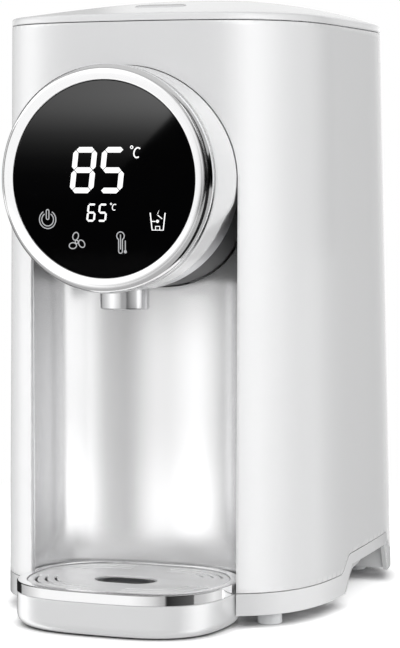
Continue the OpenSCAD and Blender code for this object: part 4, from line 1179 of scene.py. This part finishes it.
def tray_rings(profile):
    """Rings of the tray's outline, given (inset, height) from the first to the last."""
    count = 220
    return [np.column_stack([tray_outline(i, count), np.full(count, z)]) for i, z in profile]


def tray_bowl():
    r = TRAY_EDGE_ROUND
    low, band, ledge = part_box("drip_tray")[0].z, BAND_LOW.z, GRILLE_LOW.z
    groove = ledge - 0.002
    floor = low + TRAY_WALL
    inner, seat = TRAY_WALL + TRAY_STEP, TRAY_RIM + 0.0018
    turns = np.linspace(0, math.pi / 2, 12)
    profile = [(r * (1 - math.sin(a)), low + r * (1 - math.cos(a))) for a in turns]
    profile += [(0, z) for z in np.linspace(low + r, band - 0.0004, 6)[1:]]
    profile += [(0.0001, band - 0.00015), (0.0004, band), (TRAY_STEP, band), (TRAY_STEP, ledge)]
    profile += [(seat, ledge), (seat, groove), (inner, groove), (inner, floor + 0.003)]
    profile += [(inner + 0.0009, floor + 0.0009), (inner + 0.003, floor)]
    solid = ring_stack(tray_rings(profile))
    return piece("tray_bowl", *solid, "tray", "tray_white", WHITE_TRAY, ["drip_tray"])


def tray_trim():
    low, high, ledge = BAND_LOW.z, BAND_HIGH.z, GRILLE_LOW.z
    inner = TRAY_RIM - 0.0004
    r, edge = 0.0006, 0.0003
    profile = [(edge, low), (0, low + edge)]
    profile += [(0, z) for z in np.linspace(low + edge, high - r, 5)[1:]]
    profile += [(inset, high - r + up) for inset, up in quarter(r, 6)[1:]]
    profile += [(inner - edge, high), (inner, high - edge), (inner, ledge)]
    profile += [(TRAY_STEP, ledge), (TRAY_STEP, low)]
    solid = ring_stack(tray_rings(profile), hollow=True)
    return piece("tray_trim", *solid, "tray", "tray_chrome", CHROME, ["tray_band"])


def split_spans(points, keep):
    """Runs of neighbouring points of a closed line for which keep is true."""
    n = len(points)
    flags = [keep(p) for p in points]
    start = next(i for i in range(n) if flags[i] and not flags[i - 1])
    runs, run = [], []
    for k in range(n):
        i = (start + k) % n
        if flags[i]:
            run.append(points[i])
        elif run:
            runs.append(run)
            run = []
    return runs + ([run] if run else [])


def slot_outlines():
    """Middle lines of the grille's curved slots: rings with gaps at the sides and in the middle."""
    shortest = 8

    def keep(p):
        bridge = REAR_BRIDGE * (FRONT_BRIDGE_SHARE if p[1] < FLOAT_Y else 1)
        return bool(abs(p[1] - NICHE_Y) > SIDE_BRIDGE and abs(p[0]) > bridge)

    found = []
    for k in range(SLOT_RINGS):
        inset = TRAY_RIM + SLOT_MARGIN + SLOT_PITCH * k + SLOT_WIDTH / 2
        runs = split_spans([tuple(p) for p in tray_outline(inset, 400)], keep)
        found += [run for run in runs if len(run) > shortest]
    return found


def band_outline(line, width):
    """Closed outline of a band of even width with round ends along a line."""
    p = np.array(line)
    side = sideways(np.vstack([p[1] - p[0], p[2:] - p[:-2], p[-1] - p[-2]]), width)
    left, right = p + side, p - side

    def end_cap(centre, start):
        angle = math.degrees(math.atan2(start[1] - centre[1], start[0] - centre[0]))
        return arc(centre, width / 2, angle, angle - 180, 6)[1:-1]

    return [
        *map(tuple, left), *end_cap(p[-1], left[-1]),
        *map(tuple, right[::-1]), *end_cap(p[0], right[0]),
    ]


def filled_plate(name, outlines, low, high, bevel):
    """Flat plate with holes: a filled curve whose edges are rounded, turned into a mesh."""
    curve = bpy.data.curves.new(name, "CURVE")
    curve.dimensions = "2D"
    curve.fill_mode = "BOTH"
    curve.extrude = (high - low) / 2 - bevel
    curve.bevel_depth = bevel
    curve.bevel_resolution = 2
    curve.offset = -bevel
    for outline in outlines:
        spline = curve.splines.new("POLY")
        spline.points.add(len(outline) - 1)
        for point, (x, y) in zip(spline.points, outline):
            point.co = (x, y, 0, 1)
        spline.use_cyclic_u = True
    holder = new_object(name, curve)
    mesh = evaluated_mesh(holder)
    mesh.transform(Matrix.Translation((0, 0, (low + high) / 2)))
    bpy.data.objects.remove(holder)
    return mesh


def grille():
    """Slotted plate with an oblong window for the float."""
    outlines = [[tuple(p) for p in tray_outline(TRAY_RIM, 240)]]
    outlines.append(at((0, FLOAT_Y), oblong(*WINDOW_SIZE, 20)))
    outlines += [band_outline(line, SLOT_WIDTH) for line in slot_outlines()]
    mesh = filled_plate("grille_plate", outlines, GRILLE_LOW.z, GRILLE_HIGH.z, GRILLE_EDGE)
    return finish_piece(
        "grille_plate", mesh, "grille", "grille_steel", GRILLE_METAL, ["tray_grille"]
    )


def water_float():
    """Float with a soft top edge and a shallow dish."""
    low, high = FLOAT_LOW.z, FLOAT_HIGH.z
    length, width = FLOAT_HIGH.x - FLOAT_LOW.x, FLOAT_HIGH.y - FLOAT_LOW.y
    edge, r = 0.0008, 0.001
    profile = [(edge, low), (0, low + edge), (0, high - r)]
    profile += [(inset, high - r + up) for inset, up in quarter(r, 5, 0.3)]
    profile += [(0.0032, high), (0.0042, high - 0.0007), (0.0055, high - 0.001)]
    rows = []
    for i, z in profile:
        rows.append([(x, FLOAT_Y + y, z) for x, y in oblong(length - 2 * i, width - 2 * i, 24)])
    solid = ring_stack(rows)
    return piece("water_float", *solid, "float", "float_black", DARK_PLASTIC, ["tray_float"])


# ---------- CAD nodes that stay ----------

KEPT = {
    "bottom_plate": UNDERSIDE, "base_screws": STEEL, "display_board": CIRCUIT,
    "digit_module": DIGIT_GREY, "touch_springs": STEEL, "board_screws": STEEL,
    "nozzle_seal": SILICONE, "top_deck": SATIN_WHITE, "inner_pot": SPUN_STEEL, "pot_seal": SILICONE,
    "heater_plate": CAST_ALUMINIUM, "heater_element": OXIDE_STEEL, "warming_band": FOIL,
    "thermostat": CERAMIC, "thermal_fuse": CERAMIC, "water_sensor": SATIN_WHITE,
    "pump_chamber": PUMP_PLASTIC, "pump_cover": PUMP_PLASTIC, "pump_motor": STEEL,
    "suction_hose": SILICONE, "riser_hose": SILICONE, "control_board": CIRCUIT,
    "transformer": COPPER, "relay": RELAY_BLUE, "capacitors": CAPACITOR, "ribbon_cable": RIBBON,
    "fan_frame": DARK_PLASTIC, "power_inlet": DARK_PLASTIC, "inlet_blades": BRASS,
    "hinge_bracket": WHITE, "hinge_pin": STEEL, "latch_keeper": STEEL, "lid_liner": SATIN_WHITE,
    "lid_gasket": SILICONE, "lid_hinge_arm": WHITE, "steam_cap": SATIN_WHITE, "lid_screws": STEEL,
    "button_spring": STEEL, "latch_hook": SATIN_WHITE, "pump_impeller": ORANGE,
    "fan_rotor": DARK_PLASTIC,
}
SOFT_EDGED = ["hinge_bracket", "lid_hinge_arm", "steam_cap", "power_inlet", "hinge_pin"]


def dress_kept_nodes():
    for name, material in KEPT.items():
        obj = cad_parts[name]
        obj.data.materials.clear()
        obj.data.materials.append(material)
        if name in SOFT_EDGED:
            modify(obj, "Weld", "WELD", merge_threshold=0.00001)
            modify(
                obj, "Bevel", "BEVEL", width=0.0004, segments=2, limit_method="ANGLE",
                angle_limit=math.radians(50),
            )


# ---------- Stage, light and camera ----------

FLOOR_REACH = 4.0
FLOOR_GAIN = 2.2
# Painted contact shadow on the floor: how far its ambient occlusion reaches.
PAINTED_SHADOW_REACH = 0.012
# Span across x over which the painted contact shadow fades in, from none at the pot's left.
PAINTED_SHADOW_SIDE = (-0.105, -0.075)
FLOOR_FADE = (0.25, 0.5)
# Strength of the painted contact shadow.
PAINTED_SHADOW_POWER = 0.9
AMBIENT = 0.5


def soft_step(tree, value, low, high, top=1.0):
    """Value that rises softly from 0 to the top between two limits."""
    step = tree.add(
        "ShaderNodeMapRange", value, low, high, 0.0, top, interpolation_type="SMOOTHSTEP"
    )
    return step.outputs["Result"]


def floor_material():
    """Pale floor, seen brighter, so that only the shadow close to the pot shows on it: the lamps'
    real shadow, deepened by a painted contact shadow from ambient occlusion everywhere but at the
    pot's left side.
    """
    shade = [0.88] * 3, [0.9] * 3
    tree = finish("floor_white", *shade, 0.85, 0.05, 30.0, 0.01, Specular_IOR_Level=0.1)
    place = tree.add("ShaderNodeTexCoord").outputs["Object"]
    beside = tree.add("ShaderNodeSeparateXYZ", place).outputs["X"]
    # Painted contact shadow: ambient occlusion darkens the floor beside the pot, except at its left
    # side, over the lamps' real shadow.
    painted_contact_shadow = tree.add("ShaderNodeAmbientOcclusion", Distance=PAINTED_SHADOW_REACH, samples=8)
    strength = soft_step(tree, beside, *PAINTED_SHADOW_SIDE, PAINTED_SHADOW_POWER)
    painted_shadow = tree.add("ShaderNodeMath", painted_contact_shadow.outputs["AO"], strength, operation="POWER")
    gain = tree.add("ShaderNodeMath", painted_shadow.outputs[0], FLOOR_GAIN, operation="MULTIPLY")
    bright = tree.add("ShaderNodeBsdfDiffuse", gain.outputs[0]).outputs[0]
    away = tree.add("ShaderNodeVectorMath", place, operation="LENGTH").outputs["Value"]
    fade = soft_step(tree, away, *FLOOR_FADE)
    white = tree.add("ShaderNodeEmission", Strength=1.0).outputs[0]
    seen = tree.add("ShaderNodeMixShader", fade, bright, white).outputs[0]
    lit = tree.nodes["Principled BSDF"].outputs[0]
    camera_ray = tree.add("ShaderNodeLightPath").outputs["Is Camera Ray"]
    shown = tree.add("ShaderNodeMixShader", camera_ray, lit, seen).outputs[0]
    tree.set(tree.nodes["Material Output"], Surface=shown)
    return tree.owner


def build_floor():
    far = FLOOR_REACH
    corners = [(-far, -far, 0), (far, -far, 0), (far, far, 0), (-far, far, 0)]
    floor = plain_object("floor", corners, [(0, 1, 2, 3)])
    floor.data.materials.append(floor_material())
    floor.visible_glossy = False


def build_world():
    """White to look at and in reflections, and dimmer as a light."""
    world = bpy.data.worlds.new("studio")
    bpy.context.scene.world = world
    tree = Tree(world)
    tree.nodes.clear()
    path = tree.add("ShaderNodeLightPath").outputs
    seen = path["Is Camera Ray"]
    for ray in ("Is Glossy Ray", "Is Transmission Ray"):
        seen = tree.add("ShaderNodeMath", seen, path[ray], operation="MAXIMUM").outputs[0]
    white = tree.add("ShaderNodeBackground", (1, 1, 1, 1), 1.0)
    light = tree.add("ShaderNodeBackground", (1, 1, 1, 1), AMBIENT)
    mix = tree.add("ShaderNodeMixShader", seen, light.outputs[0], white.outputs[0])
    tree.add("ShaderNodeOutputWorld", Surface=mix.outputs[0])


def receiver_group(name, receivers):
    """The pieces that a panel or a lamp is for."""
    group = bpy.data.collections.new(name + "_receivers")
    for receiver in receivers:
        group.objects.link(bpy.data.objects[receiver])
    return group


def round_the_pot(azimuth, distance, height):
    """Place at an azimuth in radians, where 0 is in front."""
    return distance * math.sin(azimuth), -distance * math.cos(azimuth), height


def area_light(name, azimuth, height, distance, size, power, aim=(0, 0, 0.17), receivers=()):
    """Square lamp at an azimuth in degrees that lights the named pieces, or all."""
    data = bpy.data.lights.new(name, "AREA")
    data.shape = "RECTANGLE"
    data.size, data.size_y = size, size
    data.energy = power
    obj = new_object(name, data)
    obj.location = round_the_pot(math.radians(azimuth), distance, height)
    obj.rotation_euler = (Vector(aim) - obj.location).to_track_quat("-Z", "Y").to_euler()
    if receivers:
        obj.light_linking.receiver_collection = receiver_group(name, receivers)


CAMERA_AZIMUTH = 21.701
CAMERA_ELEVATION = 4.07
CAMERA_DISTANCE = 1.407
CAMERA_TARGET = (-0.00065, 0.01305, 0.1591)
CAMERA_LENS = 131.3


def build_camera():
    data = bpy.data.cameras.new("camera")
    data.lens = CAMERA_LENS
    data.sensor_width = 36
    data.sensor_fit = "AUTO"
    camera = new_object("camera", data)
    a, e = math.radians(CAMERA_AZIMUTH), math.radians(CAMERA_ELEVATION)
    back = Vector((math.sin(a) * math.cos(e), -math.cos(a) * math.cos(e), math.sin(e)))
    camera.location = Vector(CAMERA_TARGET) + back * CAMERA_DISTANCE
    camera.rotation_euler = (-back).to_track_quat("-Z", "Y").to_euler()
    bpy.context.scene.camera = camera


def panel_material(name, absorbing):
    """See-through panel: it adds its own light, or lets through the share given by its "level"."""
    tree = Tree(bpy.data.materials.new(name))
    tree.nodes.clear()
    level = tree.add("ShaderNodeAttribute", attribute_name="level").outputs
    through = tree.add("ShaderNodeBsdfTransparent")
    shown = through
    if absorbing:
        tree.set(through, Color=level["Color"])
    else:
        lit = tree.add("ShaderNodeEmission", Strength=level["Fac"])
        shown = tree.add("ShaderNodeAddShader", lit.outputs[0], through.outputs[0])
    tree.add("ShaderNodeOutputMaterial", Surface=shown.outputs[0])
    return tree.owner


def studio_panel(name, corners, levels, material, receivers=()):
    """Sheet of points with a level each, seen only in reflections of the named pieces or of all."""
    rows, columns = len(corners), len(corners[0])
    flat = [v for row in levels for v in row]
    faces = grid_faces(rows, columns)
    if material is PANEL_LIGHT:
        faces = [f for f in faces if any(flat[v] > 0 for v in f)]
    obj = plain_object(name, [p for row in corners for p in row], faces)
    attribute = obj.data.attributes.new("level", "FLOAT_COLOR", "POINT")
    attribute.data.foreach_set("color", [c for v in flat for c in (v, v, v, 1.0)])
    obj.data.materials.append(material)
    for ray in ("camera", "diffuse", "shadow", "transmission", "volume_scatter"):
        setattr(obj, "visible_" + ray, False)
    if receivers:
        obj.light_linking.receiver_collection = receiver_group(name, receivers)


def curved_panel(name, radius, heights, curve, material, receivers=()):
    """Upright panel on a circle round the pot, with a level for each azimuth in degrees."""
    places = sorted(curve)
    azimuths = np.arange(places[0], places[-1] + 0.5, 1.5)
    around = np.interp(azimuths, places, [curve[a] for a in places])
    corners = [[round_the_pot(a, radius, z) for a in np.radians(azimuths)] for z, _ in heights]
    if material is PANEL_DARK:
        levels = [[max(1 - (1 - v) * share, 0.0) for v in around] for _, share in heights]
    else:
        levels = [[v * share for v in around] for _, share in heights]
    studio_panel(name, corners, levels, material, receivers)


PANEL_LIGHT = panel_material("panel_light", False)
PANEL_DARK = panel_material("panel_dark", True)

BODY_GLOW = {
    -150: 0.2, -112: 0.8, -98: 1.25, -82: 3.0, -73: 3.7, -65: 3.3, -57: 1.9, -48: 0.6, -40: 0, 8: 0,
    20: 0.5, 28: 2.2, 36: 3.7, 44: 5.4, 54: 5.3, 63: 4.5, 74: 3.3, 86: 2.3, 98: 1.7, 110: 1.4,
    124: 1.3, 136: 0.8, 146: 0.4, 157: 0.1, 166: 0.45, 175: 0.65, 188: 0.65,
}
PLINTH_GLOW = {
    -120: 0, -98: 0.6, -82: 1.2, -65: 1.0, -50: 0, 30: 0, 44: 0.6, 54: 1.5, 63: 2.1, 74: 2.7,
    98: 2.6, 110: 2.3, 124: 1.8, 136: 1.3, 146: 0.8, 154: 0.3, 160: 0,
}
TRAY_GLOW = {
    -120: 0.3, -100: 1.8, -88: 3.0, -74: 4.2, -65: 2.2, -57: 0.6, -50: 0, 46: 0, 58: 2.6, 70: 4.9,
    85: 5.4, 97: 4.2, 108: 1.8, 120: 0.4, 130: 0,
}
NICHE_GLOW_LEFT = {
    -80: 0.1, -66: 0.15, -58: 0.22, -50: 0.38, -40: 0.7, -30: 1.0, -22: 0.85, -15: 0.16, -10: 0,
}
NICHE_GLOW_RIGHT = {
    -10: 0.09, -2: 0.16, 6: 0.24, 14: 0.52, 24: 0.84, 32: 1.08, 60: 1.2, 72: 1.35, 84: 1.25,
    95: 1.0, 110: 0,
}
METAL_GLOW = {
    -100: 0, -80: 0.15, -70: 0.25, -58: 0.4, -46: 0.6, -6: 0.6, 4: 0.45, 12: 0.3, 20: 0.1, 26: 0,
    74: 0.1, 95: 0.2, 115: 0.45, 132: 0.3, 136: 0.3, 137: 0, 150: 0,
}
OUTLET_GLOW = {
    -95: 0, -60: 0.3, -45: 0.55, -30: 0.95, -20: 0.8, -11: 0.55, 0: 0.35, 8: 0, 22: 0, 30: 0.15,
    44: 0.4, 61: 0.6, 72: 0.8, 80: 1.0, 90: 0.7, 103: 0.35, 115: 0,
}
LID_GLOW = {-180: 0.6, -125: 0.6, -110: 0, 140: 0, 155: 0.6, 180: 0.6}
RING_DARK = {-165: 1, -160: 0, 148: 0, 152: 1}
RING_GLOW = {
    -170: 0.3, -120: 0.33, -90: 0.45, -66: 0.8, -60: 0, 146: 0, 152: 0.8, 158: 1.0, 172: 0.9,
    200: 0.9,
}
NICHE_LOW = [
    (-0.6, 0.5), (-0.06, 0.5), (-0.03, 1.9), (0.005, 1.9), (0.015, 1.1), (0.025, 0.86),
    (0.06, 0.88),
]
NICHE_FADE = [
    (0.1, 1.1), (0.115, 1.25), (0.13, 1.25), (0.142, 0.95), (0.151, 0.5), (0.16, 0.07), (0.17, 0),
]
NICHE_HIGH = [(0.1, 1.1), (0.13, 1.35), (0.16, 1.2), (0.24, 0.4)]
SURROUND = {
    -180: 0.45, -152: 0.45, -150: 0.02, -96: 0.02, -94: 0.45, 26: 0.45, 27.5: 0.02, 72: 0.02,
    73.5: 0.45, 137: 0.45, 138: 0.3, 180: 0.45,
}


TALL = [(-0.8, 1), (1.0, 1), (1.3, 0)]
LOW = [(-0.8, 1), (0.15, 1), (0.2, 0)]
BRIGHT_PANELS = [
    ("lid_glow", 0.605, [(0.34, 1), (1.0, 1)], LID_GLOW, ["lid_shell"]),
    ("body_glow", 0.6, TALL, BODY_GLOW, ["body_shell"]),
    ("rim_glow", 0.61, [(0.2, 1), (0.35, 1), (0.42, 0)], BODY_GLOW, ["lid_shell"]),
    ("plinth_glow", 0.59, LOW, PLINTH_GLOW, ["plinth_band", "foot_pads"]),
    ("tray_glow", 0.58, LOW, TRAY_GLOW, ["tray_bowl"]),
    ("niche_glow_left", 0.5, NICHE_LOW + NICHE_FADE, NICHE_GLOW_LEFT, ["niche_lining"]),
    ("niche_glow_right", 0.51, NICHE_LOW + NICHE_HIGH, NICHE_GLOW_RIGHT, ["niche_lining"]),
    ("metal_glow", 0.56, [(-0.15, 1), (0.06, 1)], METAL_GLOW, ["tray_trim"]),
    ("outlet_glow", 0.55, [(0.06, 1), (0.24, 1)], OUTLET_GLOW, ["outlet"]),
    ("ring_glow", 0.57, [(0.12, 1), (0.45, 1)], RING_GLOW, ["bezel", "trim"]),
]
CEILING_HEIGHT = 1.0
CEILING_RADIUS = 0.64
CEILING_LEVEL = 0.6


def build_studio():
    build_floor()
    area_light("key_light", 40, 1.0, 1.6, 0.9, 8.1)
    area_light("left_light", -60, 0.8, 1.6, 0.9, 6.2)
    area_light("head_fill", 80, 0.5, 1.2, 0.6, 2.2, (0, -0.1, 0.24), ["head_housing", "trim"])
    area_light("grille_fill", 0, 0.5, 0.9, 0.5, 4.6, (0, -0.1, 0.02), ["grille_plate"])
    area_light("lid_fill", 10, 0.6, 1.5, 0.8, 1.6, (0, 0, 0.34), ["lid_shell", "button_cap"])
    curved_panel("surround", 0.62, [(-0.8, 1), (0.6, 1), (1.0, 0.8)], SURROUND, PANEL_DARK)
    ring_heights = [(0.18, 0), (0.19, 1), (0.42, 1), (0.43, 0)]
    curved_panel("ring_dark", 0.615, ring_heights, RING_DARK, PANEL_DARK)
    turns = np.linspace(0, 2 * math.pi, 33)
    ceiling = []
    for r in (0.0, CEILING_RADIUS):
        ceiling.append([(r * math.cos(a), r * math.sin(a), CEILING_HEIGHT) for a in turns])
    studio_panel("ceiling", ceiling, [[CEILING_LEVEL] * len(turns)] * 2, PANEL_DARK)
    for name, radius, heights, curve, receivers in BRIGHT_PANELS:
        curved_panel(name, radius, heights, curve, PANEL_LIGHT, receivers)
    glass_card()
    bezel_card()
    build_world()


GLASS_AZIMUTH = -24.0
GLASS_GLOW = 32
BEZEL_GLOW = 1.0
GLASS_SHADES = {
    -0.02: 0.0, 0.0: 0.01, 0.011: 0.04, 0.020: 0.12, 0.028: 0.25, 0.036: 0.5, 0.044: 0.77,
    0.053: 0.95, 0.065: 1.0, 0.1: 1.0,
}


def facing(distance):
    """Middle of a card that the display shows as a reflection, and its two directions."""
    a = math.radians(GLASS_AZIMUTH)
    out = Vector((math.sin(a), -math.cos(a), 0))
    along = Vector((math.cos(a), math.sin(a), 0))
    return Vector((0, GLASS_FACE, HEAD_Z)) + out * distance, along, Vector((0, 0, 1))


def glass_card():
    """Soft grey sheet that shows in the display's glass, cut off along a slanting line."""
    middle, along, upward = facing(0.35)
    left, steps = -0.16, 17
    corners, levels = [], []
    for up, share in GLASS_SHADES.items():
        reach = 0.0075 + 0.947 * (up + 0.0014)
        corners.append([middle + along * x + upward * up for x in np.linspace(left, reach, steps)])
        levels.append([GLASS_GLOW * share * (0.4 + 0.6 * t**1.5) for t in np.linspace(0, 1, steps)])
    studio_panel("glass_card", corners, levels, PANEL_LIGHT, ["glass"])


def bezel_card():
    """Round card that makes the ring's face bright and lets it fade outwards, most at its right."""
    middle, along, upward = facing(0.34)
    corners, levels = [], []
    for r in (0.0, 0.05, 0.08, 0.1, 0.12, 0.14, 0.16, 0.18, 0.2, 0.22, 0.24, 0.27, 0.3):
        row, level = [], []
        for a in np.linspace(0, 2 * math.pi, 49):
            up, right = math.sin(a), math.cos(a)
            near, far = 0.14 + 0.035 * up - 0.02 * right, 0.22 + 0.05 * up - 0.05 * right
            edge = max(0.35 + 0.3 * up - 0.35 * right, 0.0)
            share = float(smooth_step((r - near) / (far - near)))
            row.append(middle + along * r * right + upward * r * up)
            level.append(BEZEL_GLOW + (edge - BEZEL_GLOW) * share)
        corners.append(row)
        levels.append(level)
    studio_panel("bezel_card", corners, levels, PANEL_LIGHT, ["bezel"])


build_camera()
body_shell()
plinth_band()
for hold_side in (-1, 1):
    hand_hold(hold_side)
foot_set()
niche_lining()
head_housing()
bezel()
trim()
glass()
markings()
outlet()
lid_shell()
button_cap()
tray_bowl()
tray_trim()
grille()
water_float()
dress_kept_nodes()
build_studio()

bpy.context.scene.view_settings.view_transform = "Standard"
